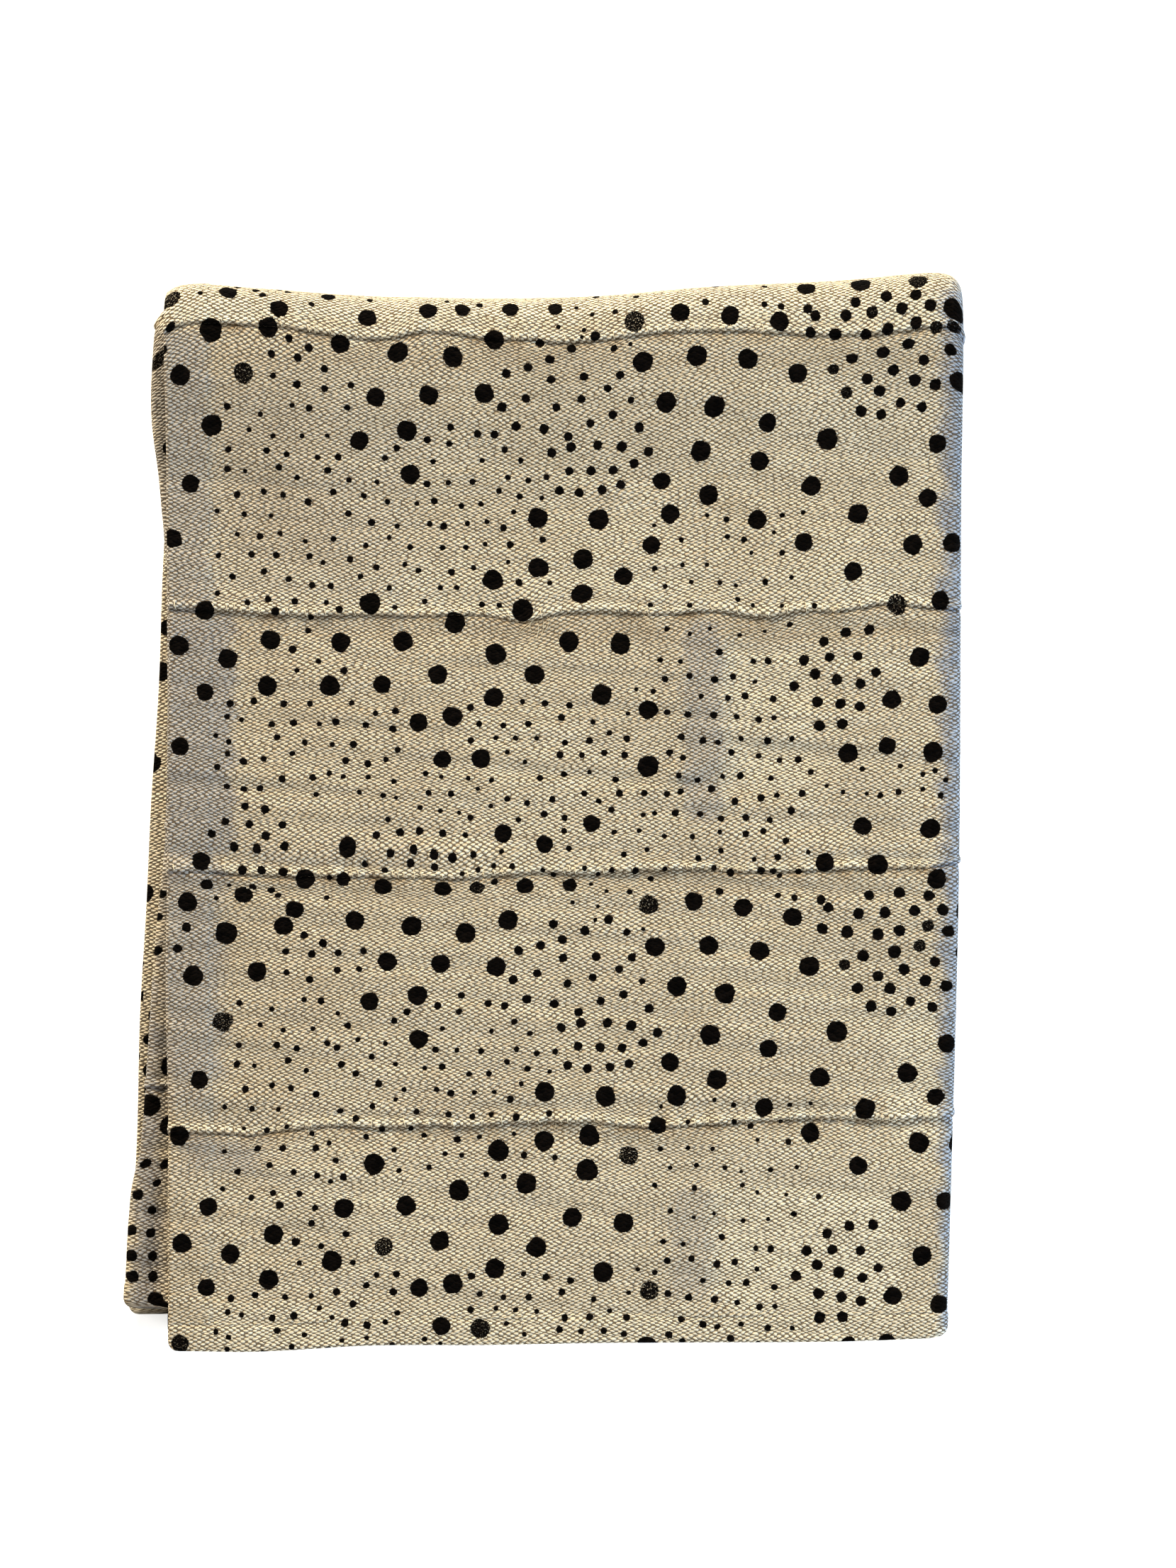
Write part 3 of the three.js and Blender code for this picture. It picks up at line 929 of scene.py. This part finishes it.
def wash(across, height, patches):
    """How strongly a table's patches lie over each point of the front."""
    total = np.zeros_like(across)
    loose = 2.0 * ripple(across, height, SEED + 5, 44.0, 23.0)
    loose = loose + 1.2 * ripple(across, height, SEED + 6, 16.0, 9.0)
    for patch in patches:
        dx = np.abs(across - patch["at"]) - patch["half_x"]
        dy = np.abs(height - patch["up"]) - patch["half_y"]
        beyond = np.hypot(np.maximum(dx + WASH_ROUND, 0), np.maximum(dy + WASH_ROUND, 0)) - WASH_ROUND
        beyond = beyond + loose * min(1.0, patch["edge"] / 8)
        total = np.maximum(total, patch["share"] * (1 - soft(beyond / patch["edge"] + 0.5)))
    return total


def add_map(thing, name, values):
    layer = thing.data.uv_layers.new(name=name)
    layer.data.foreach_set("uv", values.astype(np.float32).ravel())


def make_strip(strip, low, dots, columns, quick, seed):
    """One woven strip, with maps for its weave, its painted light and shade, and the nearest dot to each
    square.
    """
    high = low + strip["width"]
    rows = row_stops(strip["width"], strip["fine"], low == 0, high > CLOTH_WIDTH - 1, quick)
    top, bottom, length, up = cloth_skin(columns, rows, low, high, seed)
    count_r, count_c = up.shape
    points = np.concatenate([top.reshape(-1, 3), bottom.reshape(-1, 3)]) - ORIGIN
    faces = np.concatenate([
        grid_faces(count_r, count_c, 0, False),
        grid_faces(count_r, count_c, count_r * count_c, True),
        rim_faces(count_r, count_c),
    ])
    thing = build_mesh("cloth_" + strip["name"], points * MM, faces)
    lapped_up = up - (seam_reach(length, up - low, seed) if low > 0 else 0)
    flat = np.stack([length.ravel(), lapped_up.ravel()], 1)
    corners = np.concatenate([flat, flat])[faces.ravel()]
    add_map(thing, "weave", corners * MM)
    along = np.broadcast_to(columns, up.shape)
    seen = (along < 1.6) | ((along > 3) & (along < 4.3))
    # painted shade as the first value, and painted light less painted brown shade as the second, on the
    # layers seen from above
    painted_shade = np.where(seen, wash(top[..., 0], top[..., 1], PAINTED_SHADE_PATCHES), 0.0)
    light_less_shade = np.where(seen, wash(top[..., 0], top[..., 1], PAINTED_LIGHT_PATCHES) - wash(top[..., 0], top[..., 1], PAINTED_BROWN_SHADE), 0.0)
    if low > 0:
        # a painted highlight along the upper strip's sewn ridge, and painted shade on its lowest edge
        light_less_shade = light_less_shade + RIDGE_HIGHLIGHT * bell(up - low - 1.6, 1.1) - RIM_SHADE * bell(up - low, 0.85)
    if high < CLOTH_WIDTH - 1:
        # painted shadow on the cloth just beneath the sewn ridge, uneven along it
        uneven = np.clip(1 + 0.7 * ripple(length, up * 0, seed + 9, 26.0, 50.0), 0.1, 2.0)
        light_less_shade = light_less_shade - SEAM_SHADOW * uneven * bell(high - up, 4.2)
    painted_tints = np.stack([np.tile(painted_shade.ravel(), 2), np.tile(light_less_shade.ravel(), 2)], 1)[faces.ravel()]
    add_map(thing, "painted_light_and_shade", painted_tints)
    which = dot_maps(length, lapped_up, dots)
    squares = len(which)
    nearest = np.zeros(len(faces), int)
    nearest[:2 * squares] = np.tile(which, 2)
    kind = dots[nearest][:, 2:4].copy()
    kind[squares:2 * squares, 0] *= -1
    kind[2 * squares:, 0] = 0
    spot = corners.reshape(-1, 4, 2) - dots[nearest][:, None, :2]
    add_map(thing, "dot_place", spot)
    add_map(thing, "dot_kind", np.repeat(kind, 4, 0))
    return thing


class Graph:
    """Short calls for the nodes of one material or group."""

    def __init__(self, tree):
        self.tree = tree

    def put(self, kind, inputs=(), **settings):
        node = self.tree.nodes.new(kind)
        for name, value in settings.items():
            setattr(node, name, value)
        for slot, value in dict(inputs).items():
            self.plug(node.inputs[slot], value)
        return node

    def plug(self, socket, value):
        if isinstance(value, bpy.types.NodeSocket):
            self.tree.links.new(value, socket)
        elif isinstance(value, bpy.types.Node):
            self.tree.links.new(value.outputs[0], socket)
        else:
            socket.default_value = value

    def math(self, operation, a, b=0.0, clamp=False):
        return self.put("ShaderNodeMath", {0: a, 1: b}, operation=operation, use_clamp=clamp).outputs[0]

    def times(self, a, b):
        return self.math("MULTIPLY", a, b)

    def plus(self, a, b):
        return self.math("ADD", a, b)

    def less(self, a, b):
        return self.math("SUBTRACT", a, b)

    def vector(self, operation, a, b=(0, 0, 0)):
        node = self.put("ShaderNodeVectorMath", {0: a}, operation=operation)
        if operation == "SCALE":
            self.plug(node.inputs["Scale"], b)
        elif operation not in ("LENGTH", "FRACTION", "FLOOR"):
            self.plug(node.inputs[1], b)
        return node.outputs["Value" if operation == "LENGTH" else "Vector"]

    def noise(self, place, scale, detail=2.0, roughness=0.5):
        values = {"Vector": place, "Scale": scale, "Detail": detail, "Roughness": roughness}
        return self.put("ShaderNodeTexNoise", values).outputs["Fac"]

    def random(self, place):
        return self.put("ShaderNodeTexWhiteNoise", {"Vector": place}, noise_dimensions="3D").outputs["Value"]

    def blend(self, share, a, b):
        node = self.put("ShaderNodeMix", data_type="RGBA")
        for slot, value in ((0, share), (6, a), (7, b)):
            self.plug(node.inputs[slot], value)
        return node.outputs[2]

    def between(self, value, low, high, start=0.0, end=1.0):
        return self.put("ShaderNodeMapRange", {0: value, 1: low, 2: high, 3: start, 4: end}).outputs[0]

    def parts(self, vector):
        node = self.put("ShaderNodeSeparateXYZ", {0: vector})
        return node.outputs[0], node.outputs[1]

    def join(self, x, y, z=0.0):
        return self.put("ShaderNodeCombineXYZ", {0: x, 1: y, 2: z}).outputs[0]

    def stretched(self, x, by_x, y, by_y):
        return self.join(self.math("MULTIPLY", x, by_x), self.math("MULTIPLY", y, by_y))


def new_group(name, inputs, outputs):
    tree = bpy.data.node_groups.new(name, "ShaderNodeTree")
    for label, kind, value in inputs:
        socket = tree.interface.new_socket(label, in_out="INPUT", socket_type="NodeSocket" + kind)
        socket.default_value = value
    for label, kind in outputs:
        tree.interface.new_socket(label, in_out="OUTPUT", socket_type="NodeSocket" + kind)
    graph = Graph(tree)
    return tree, graph, graph.put("NodeGroupInput"), graph.put("NodeGroupOutput")


# how long a float is, how far apart the rows are, and how much of its place a float fills both ways
FLOAT_LENGTH = 3.8
ROW_PITCH = 0.95
FLOAT_SHARE = 0.68
YARN_SHARE = 0.74


def weave_group():
    """Plain weave of thick hand-spun yarn: long rounded floats along the strip in offset rows, with slubs."""
    tree, g, given, result = new_group(
        "hand weave",
        [("Place", "Vector", (0, 0, 0)), ("Float Length", "Float", FLOAT_LENGTH),
         ("Row Pitch", "Float", ROW_PITCH)],
        [("Height", "Float"), ("Tone", "Float"), ("Depth", "Float"), ("Offset", "Vector"), ("Yarn", "Float")],
    )
    place = given.outputs["Place"]
    length, pitch = given.outputs["Float Length"], given.outputs["Row Pitch"]
    x, y = g.parts(place)
    slow = g.less(g.noise(place, 0.022, 2), 0.5)
    middling = g.less(g.noise(g.stretched(x, 0.09, y, 0.3), 1.0, 2), 0.5)
    y1 = g.plus(y, g.plus(g.times(slow, 6.0), middling))
    along = g.less(g.noise(g.stretched(x, 0.04, y, 0.35), 1.0, 3), 0.5)
    x1 = g.plus(x, g.times(along, 4.0))
    row = g.math("FLOOR", g.math("DIVIDE", y1, pitch))
    loose = g.noise(g.stretched(x, 0.03, row, 5.7), 1.0, 1)
    x1 = g.plus(x1, g.times(g.less(loose, 0.5), 2.6))
    lattice = g.join(g.math("DIVIDE", x1, length), g.math("DIVIDE", y1, g.times(pitch, 2.0)))
    floats = []
    for index, push in enumerate(((0.5, 0.5, 0), (0, 0, 0))):
        spot = g.vector("ADD", lattice, push)
        cell = g.vector("ADD", g.vector("FLOOR", spot), (0, 0, 3.0 + 5 * index))
        chance = g.random(cell)
        push_x = g.random(g.vector("ADD", cell, (0, 0, 1.5)))
        push_y = g.random(g.vector("ADD", cell, (0, 0, 2.5)))
        local = g.vector("SUBTRACT", g.vector("FRACTION", spot), (0.5, 0.5, 0))
        loose_x = g.times(g.less(push_x, 0.5), 0.11)
        loose_y = g.times(g.less(push_y, 0.5), 0.07)
        lx, ly = g.parts(g.vector("ADD", local, g.join(loose_x, loose_y)))
        stretch = g.plus(0.88, g.times(chance, 0.24))
        wide = g.times(g.times(lx, 2.0 / FLOAT_SHARE), stretch)
        tall = g.times(g.times(ly, 2.0 / YARN_SHARE), stretch)
        wide = g.math("POWER", g.math("ABSOLUTE", wide), 2.6)
        tall = g.math("POWER", g.math("ABSOLUTE", tall), 2.2)
        ring = g.plus(wide, tall)
        bulge = g.math("MAXIMUM", g.less(1.0, ring), 0.0)
        offset = g.stretched(lx, length, ly, g.times(pitch, 2.0))
        floats.append((bulge, chance, offset))
    upper = g.math("GREATER_THAN", floats[0][0], floats[1][0])
    height = g.math("MAXIMUM", floats[0][0], floats[1][0])
    chance = g.put("ShaderNodeMix", {0: upper, 2: floats[1][1], 3: floats[0][1]}, data_type="FLOAT")
    offset = g.put("ShaderNodeMix", {0: upper, 4: floats[1][2], 5: floats[0][2]}, data_type="VECTOR")
    slub = g.noise(g.stretched(x1, 0.045, row, 7.31), 1.0, 2)
    fibre = g.noise(g.stretched(x, 1.3, y, 5.0), 1.0, 3)
    full = g.times(g.math("POWER", height, 0.75), g.between(slub, 0.3, 0.72, 0.6, 1.35))
    full = g.plus(full, g.times(fibre, 0.14))
    g.plug(result.inputs["Height"], full)
    g.plug(result.inputs["Tone"], chance.outputs[0])
    # painted shade in the gaps between floats, darkest where the floats are lowest
    g.plug(result.inputs["Depth"], g.math("POWER", g.between(height, 0.0, 0.7, 1.0, 0.0), 1.2))
    g.plug(result.inputs["Offset"], offset.outputs[1])
    g.plug(result.inputs["Yarn"], slub)
    return tree


def dot_group():
    """Mud dots: a dark mask with slightly uneven edges, dry patches and a few specks."""
    tree, g, given, result = new_group(
        "mud dots",
        [("Spot", "Vector", (0, 0, 0)), ("Kind", "Vector", (0, 0, 0)), ("Offset", "Vector", (0, 0, 0))],
        [("Mask", "Float"), ("Halo", "Float")],
    )
    spot = given.outputs["Spot"]
    radius, own = g.parts(given.outputs["Kind"])
    near = g.vector("LENGTH", spot)
    by_float = g.vector("LENGTH", g.vector("SUBTRACT", spot, given.outputs["Offset"]))
    away = g.plus(g.times(near, 0.84), g.times(by_float, 0.16))
    seed = g.join(0.0, 0.0, g.times(own, 90.0))
    own_spot = g.vector("ADD", spot, seed)
    outline = g.vector("ADD", g.vector("DIVIDE", spot, g.join(radius, radius, 1.0)), seed)
    wobble = g.less(g.noise(outline, 0.9, 1), 0.5)
    ragged = g.less(g.noise(own_spot, 1.6, 2), 0.5)
    reach = g.plus(g.times(radius, 1.06), 0.08)
    reach = g.plus(reach, g.times(wobble, g.times(radius, 0.44)))
    rough = g.math("MINIMUM", g.times(radius, 0.45), 0.8)
    reach = g.plus(reach, g.times(ragged, rough))
    edge = g.less(reach, away)
    mask = g.between(edge, -0.10, 0.14)
    pits = g.noise(own_spot, 1.3, 2)
    dry = g.times(g.between(own, 0.92, 0.96), g.between(pits, 0.56, 0.64))
    dry = g.times(dry, g.between(radius, 2.4, 3.4))
    mask = g.times(mask, g.less(1.0, g.times(dry, 0.42)))
    speck = g.between(g.noise(own_spot, 1.5, 1), 0.68, 0.71)
    splash = g.times(g.between(own, 0.16, 0.1), g.between(edge, -3.4, -0.8))
    splash = g.times(splash, g.between(radius, 2.6, 2.0))
    mask = g.math("MAXIMUM", mask, g.times(g.times(splash, speck), 0.9))
    printed = g.math("GREATER_THAN", radius, 0.05)
    g.plug(result.inputs["Mask"], g.times(mask, printed))
    g.plug(result.inputs["Halo"], g.times(g.between(edge, -2.6, 0.0), printed))
    return tree


WEAVE = weave_group()
DOTS = dot_group()


def new_material(name):
    stuff = bpy.data.materials.new(name)
    stuff.use_nodes = True
    stuff.node_tree.nodes.clear()
    return stuff, Graph(stuff.node_tree)


def finish(g, colour, bump, roughness, shine):
    shader = g.put("ShaderNodeBsdfPrincipled", {"Base Color": colour, "Normal": bump.outputs[0],
                                                "Roughness": roughness, "Specular IOR Level": shine})
    g.put("ShaderNodeOutputMaterial", {"Surface": shader.outputs[0]})


def cotton_material():
    stuff, g = new_material("cream hand-woven cotton with mud dots")
    place = g.vector("SCALE", g.put("ShaderNodeUVMap", uv_map="weave").outputs[0], 1000.0)
    woven = g.put("ShaderNodeGroup", node_tree=WEAVE)
    for name, value in (("Place", place), ("Float Length", FLOAT_LENGTH), ("Row Pitch", ROW_PITCH)):
        g.plug(woven.inputs[name], value)
    dots = g.put("ShaderNodeGroup", node_tree=DOTS)
    g.plug(dots.inputs["Spot"], g.put("ShaderNodeUVMap", uv_map="dot_place"))
    g.plug(dots.inputs["Kind"], g.put("ShaderNodeUVMap", uv_map="dot_kind"))
    g.plug(dots.inputs["Offset"], woven.outputs["Offset"])
    # unbleached yarn, lighter and darker from float to float, yarn to yarn and patch to patch
    cream = g.blend(woven.outputs["Tone"], (0.58, 0.49, 0.345, 1), (0.93, 0.835, 0.635, 1))
    cream = g.blend(g.between(woven.outputs["Yarn"], 0.4, 0.62, 0.0, 0.7), cream, (0.96, 0.885, 0.72, 1))
    patch = g.noise(place, 0.014, 3)
    cream = g.blend(g.between(patch, 0.42, 0.68, 0.0, 0.35), cream, (0.52, 0.45, 0.34, 1))
    streak_x, streak_y = g.parts(place)
    streak = g.noise(g.stretched(streak_x, 0.05, streak_y, 0.35), 1.0, 2)
    cream = g.blend(g.between(streak, 0.5, 0.72, 0.0, 0.32), cream, (0.44, 0.37, 0.26, 1))
    smudge = g.times(g.between(g.noise(place, 0.06, 3, 0.6), 0.55, 0.7), dots.outputs["Halo"])
    cream = g.blend(g.times(smudge, 0.4), cream, (0.27, 0.25, 0.22, 1))
    # painted light and shade: the map's second value paints warm light where above nought and brown shade
    # where below, its first value paints grey shade
    shade_share, light_minus_shade = g.parts(g.put("ShaderNodeUVMap", uv_map="painted_light_and_shade").outputs[0])
    cream = g.blend(light_minus_shade, cream, (1.0, 0.92, 0.72, 1))
    cream = g.blend(g.math("MULTIPLY", light_minus_shade, -1.0, clamp=True), cream, (0.27, 0.185, 0.10, 1))
    # the painted grey shade turns bluer towards the right, where the fold edge lies in cool shade
    from_left = g.parts(g.put("ShaderNodeTexCoord").outputs["Object"])[0]
    painted_shade = g.blend(g.between(from_left, 0.15, 0.18), (0.35, 0.365, 0.395, 1), (0.27, 0.355, 0.50, 1))
    cream = g.blend(shade_share, cream, painted_shade)
    # painted shade darkens the gaps between the floats
    cream = g.blend(g.times(woven.outputs["Depth"], 0.93), cream, (0.10, 0.067, 0.036, 1))
    ink = g.blend(woven.outputs["Tone"], (0.0008, 0.0006, 0.0005, 1), (0.0045, 0.0032, 0.0026, 1))
    colour = g.blend(dots.outputs["Mask"], cream, ink)
    bare = g.less(1.0, g.times(dots.outputs["Mask"], 0.3))
    height = g.times(woven.outputs["Height"], bare)
    bump = g.put("ShaderNodeBump", {"Strength": 1.0, "Distance": 0.0012, "Height": height})
    finish(g, colour, bump, 0.95, 0.03)
    return stuff


def thread_material():
    stuff, g = new_material("cream sewing thread")
    spot = g.put("ShaderNodeTexCoord").outputs["Object"]
    tone = g.noise(spot, 260.0, 2)
    colour = g.blend(tone, (0.58, 0.48, 0.32, 1), (0.88, 0.78, 0.57, 1))
    twist = g.noise(spot, 2400.0, 1)
    bump = g.put("ShaderNodeBump", {"Strength": 0.5, "Distance": 0.0002, "Height": twist})
    finish(g, colour, bump, 0.9, 0.05)
    return stuff


COTTON = cotton_material()
THREAD = thread_material()


def strip_seed(index):
    return SEED + 40 + 3 * index


# the same origin as the solids: the middle of the footprint
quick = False
columns = column_stops(quick)
grid_f, grid_u = np.meshgrid(columns[::2], np.linspace(0, CLOTH_WIDTH, 300))
spread = middle(grid_f, grid_u, False)[0].reshape(-1, 3)
box_low, box_high = np.array(cad_box[0]) / MM, np.array(cad_box[1]) / MM
ORIGIN = (spread.min(0) + spread.max(0)) / 2 - (box_low + box_high) / 2
ORIGIN[2] = 0.0

dots = cloth_dots()
for index, strip in enumerate(STRIPS):
    sheet = make_strip(strip, STRIP_EDGES[index], dots, columns, quick, strip_seed(index))
    sheet.data.materials.append(COTTON)
    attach(sheet, "root")
    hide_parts(strip["name"])


def tubes(name, paths, radius, sides):
    """One mesh of thin round tubes, each along its own path."""
    points, faces, start = [], [], 0
    for path, thick in zip(paths, radius):
        path = np.asarray(path, float)
        run = unit(np.gradient(path, axis=0))
        side = unit(np.cross(run, [0.0, 0.0, 1.0]))
        lift = np.cross(side, run)
        count = len(path)
        turn = np.linspace(0, FULL_TURN, sides, endpoint=False)[None, :, None]
        taper = np.ones(count)
        taper[0] = taper[-1] = 0.45
        ring = side[:, None] * np.cos(turn) + lift[:, None] * np.sin(turn)
        points.append((path[:, None] + ring * (thick * taper)[:, None, None]).reshape(-1, 3))
        for step in range(count - 1):
            for turn_step in range(sides):
                a, b = start + step * sides + turn_step, start + step * sides + (turn_step + 1) % sides
                faces.append((a, b, b + sides, a + sides))
        first, last = start, start + (count - 1) * sides
        for turn_step in range(1, sides - 1, 2):
            third = min(turn_step + 2, sides - 1)
            faces.append((first, first + third, first + turn_step + 1, first + turn_step))
            faces.append((last, last + turn_step, last + turn_step + 1, last + third))
        start += count * sides
    return build_mesh(name, np.concatenate(points) * MM, np.array(faces))


def lie(paths):
    """Turns paths of (across, up, lift) into points on the printed face."""
    sizes = [len(path) for path in paths]
    across, up, lift = np.concatenate([np.asarray(path, float) for path in paths]).T
    along = np.clip(across / right_end(up), 0.001, 0.999)
    point = np.zeros(across.shape + (3,))
    for index, (low, high) in enumerate(zip(STRIP_EDGES, STRIP_EDGES[1:])):
        inside = (up >= low) & (up < high)
        if inside.any():
            face, under, _ = skin_at(along[inside], up[inside], low, high, strip_seed(index))
            point[inside] = face + unit(face - under) * lift[inside][:, None]
    point[:, 2] = np.maximum(point[:, 2], 0.3)
    return np.split(point - ORIGIN, np.cumsum(sizes)[:-1])


STITCHES_END = 371
HEM_STITCHES_END = 366


def on_dot(across, up, room):
    return np.any(np.hypot(dots[:, 0] - across, dots[:, 1] - up) < dots[:, 2] + room)


def seam_stitches():
    """Overcast stitches that lean over each sewn edge, seen on the folded front and back."""
    draw = np.random.default_rng(SEED + 60)
    paths, radius = [], []
    share = np.linspace(0, 1, 7)
    for mark in STRIP_EDGES[1:-1]:
        at = 3.0
        while at < STITCHES_END:
            lean, reach = draw.uniform(0.5, 2.6), draw.uniform(1.7, 3.2)
            ups = mark + reach * (1 - share) - draw.uniform(1.2, 2.0) * share
            arch = 0.05 + 0.4 * np.sin(math.pi * share) ** 0.6
            arch[0] = arch[-1] = -0.3
            if not on_dot(at + lean / 2, mark, 1.6):
                paths.append(np.stack([at + lean * share, ups, arch], 1))
                radius.append(draw.uniform(0.12, 0.21))
            at += draw.choice([draw.uniform(2.4, 5.0), draw.uniform(7.0, 14.0)])
    return paths, radius


def hem_stitches():
    """Short running stitches along the two long hems."""
    draw = np.random.default_rng(SEED + 61)
    paths, radius = [], []
    share = np.linspace(0, 1, 6)
    arch = np.where((share > 0.05) & (share < 0.95), 0.12, -0.3)
    for line in (HEM_CREASE + 0.9, CLOTH_WIDTH - HEM_CREASE - 0.9):
        at = 8.0
        while at < HEM_STITCHES_END:
            if not on_dot(at + 1.3, line, 1.6):
                ups = line + 0.5 * share + draw.uniform(-0.3, 0.3)
                paths.append(np.stack([at + 2.6 * share, ups, arch], 1))
                radius.append(0.2)
            at += draw.uniform(5.4, 7.4)
    return paths, radius


# where threads lie tangled: place across, the sewn line, how many, and how far they spread
TANGLES = table(
    "at mark count spread",
    (174, 3, 11, 9),
    (350, 3, 8, 16),
    (235, 3, 4, 22),
    (66, 4, 6, 22),
    (200, 4, 8, 40),
    (320, 4, 6, 30),
    (180, 2, 6, 40),
    (110, 2, 4, 36),
    (60, 1, 4, 30),
    (180, 1, 7, 70),
    (330, 1, 5, 30),
)


HAIR_STEPS = 13
HAIRS_RIGHT = 370
HAIRS_TOP = 500
STRAY_HAIRS = 46


def loose_hairs():
    """Hairs in tangles at the sewn lines, and strays all over the front."""
    draw = np.random.default_rng(SEED + 62)
    paths, radius = [], []

    def wind(at, up, size, turns, thick):
        """One hair that wanders over the cloth and ends where it meets a dot."""
        heading, bend = draw.uniform(0, FULL_TURN), draw.uniform(-turns, turns)
        across, ups = [at], [up]
        for _ in range(HAIR_STEPS):
            heading += bend / HAIR_STEPS + draw.normal(0, 0.24)
            across.append(np.clip(across[-1] + size / HAIR_STEPS * math.cos(heading), 2, HAIRS_RIGHT))
            ups.append(np.clip(ups[-1] + size / HAIR_STEPS * math.sin(heading), 2, HAIRS_TOP))
        share = np.linspace(0, 1, HAIR_STEPS + 1)
        arch = 0.1 + draw.uniform(0.1, 0.6) * np.sin(math.pi * share) ** 2
        path = np.stack([np.array(across), np.array(ups), arch], 1)
        free = [not on_dot(x, y, 0.4) for x, y, _ in path]
        count = free.index(False) if False in free else len(free)
        if count > 4:
            paths.append(path[:count])
            radius.append(thick)

    for tangle in TANGLES:
        for _ in range(tangle["count"]):
            at = tangle["at"] + draw.normal(0, tangle["spread"] / 2)
            up = SEAM_MARKS[tangle["mark"]] + draw.normal(-0.5, 1.6)
            wind(at, up, draw.uniform(5, 15), 5.0, draw.uniform(0.06, 0.10))
    for _ in range(STRAY_HAIRS):
        wind(draw.uniform(8, 365), draw.uniform(10, 480), draw.uniform(5, 17), 3.0, draw.uniform(0.05, 0.08))
    return paths, radius


thread_paths, thread_radius = seam_stitches()
more_paths, more_radius = hem_stitches()
sewing = tubes("sewing_thread", lie(thread_paths + more_paths), thread_radius + more_radius, 6)
hair_paths, hair_radius = loose_hairs()
hairs = tubes("loose_hairs", lie(hair_paths), hair_radius, 4)
for piece in (sewing, hairs):
    piece.data.materials.append(THREAD)
    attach(piece, "root")

# floor, light and camera
bpy.ops.object.select_all(action="DESELECT")
bpy.ops.mesh.primitive_plane_add(size=8.0, location=(0, 0, -0.0002))
floor = bpy.context.object
floor.name = "floor"
bpy.ops.object.transform_apply(location=True, rotation=True, scale=True)
paper = bpy.data.materials.new("pale paper")
paper.use_nodes = True
surface = paper.node_tree.nodes["Principled BSDF"]
surface.inputs["Base Color"].default_value = (0.93, 0.93, 0.93, 1)
surface.inputs["Roughness"].default_value = 0.9
surface.inputs["Specular IOR Level"].default_value = 0.1
surface.inputs["Emission Color"].default_value = (0.96, 0.98, 1.0, 1)
surface.inputs["Emission Strength"].default_value = 0.5
floor.data.materials.append(paper)

world = bpy.data.worlds.new("studio")
bpy.context.scene.world = world
world.use_nodes = True
world.node_tree.nodes["Background"].inputs[0].default_value = (1.0, 0.975, 0.935, 1)
world.node_tree.nodes["Background"].inputs[1].default_value = 0.335


def area_light(name, spot, size, watts, colour, aim=(0, 0, 0)):
    lamp = bpy.data.lights.new(name, "AREA")
    lamp.shape, lamp.size, lamp.energy, lamp.color = "SQUARE", size, watts, colour
    thing = add_thing(name, lamp)
    thing.location = spot
    toward = np.array(aim, float) - np.array(spot, float)
    flat = math.hypot(toward[0], toward[1])
    thing.rotation_euler = (math.atan2(flat, -toward[2]), 0, math.atan2(-toward[0], toward[1]))


area_light("warm window", (-1.1, 3.0, 1.4), 0.7, 208, (1.0, 0.87, 0.67))
area_light("warm side", (-2.2, -0.2, 0.5), 0.5, 9, (1.0, 0.84, 0.56))
area_light("soft fill", (1.8, -1.7, 1.3), 1.2, 38, (1.0, 0.985, 0.96))
area_light("cool side", (2.2, -0.4, 0.6), 0.6, 46, (0.50, 0.76, 1.0))

# the picture's size, its scale, and where the front's left edge and foot lie in it
PICTURE_WIDE = 1659
PICTURE_HIGH = 2212
PIXELS_PER_MM = 2.95
FRONT_LEFT_PIXEL = 236
FRONT_FOOT_PIXEL = 1905
CAMERA_HEIGHT = 2.4
MIDDLE_OF_STACK = 0.022
VIEW_HEIGHT = PICTURE_HIGH / (PIXELS_PER_MM * 1000)
camera = bpy.data.cameras.new("camera")
camera.sensor_fit = "VERTICAL"
camera.sensor_height = 24.0
camera.lens = 12.0 * CAMERA_HEIGHT / (VIEW_HEIGHT / 2)
camera.clip_end = 10.0
eye = add_thing("camera", camera)
aim_x = (PICTURE_WIDE / 2 - FRONT_LEFT_PIXEL) / PIXELS_PER_MM
aim_y = (FRONT_FOOT_PIXEL - PICTURE_HIGH / 2) / PIXELS_PER_MM
aim = (np.array([aim_x, aim_y, 0]) - ORIGIN) * MM
eye.location = (aim[0], aim[1], CAMERA_HEIGHT + MIDDLE_OF_STACK)
eye.rotation_euler = (0, 0, 0)
bpy.context.scene.camera = eye
bpy.context.scene.view_settings.view_transform = "Standard"
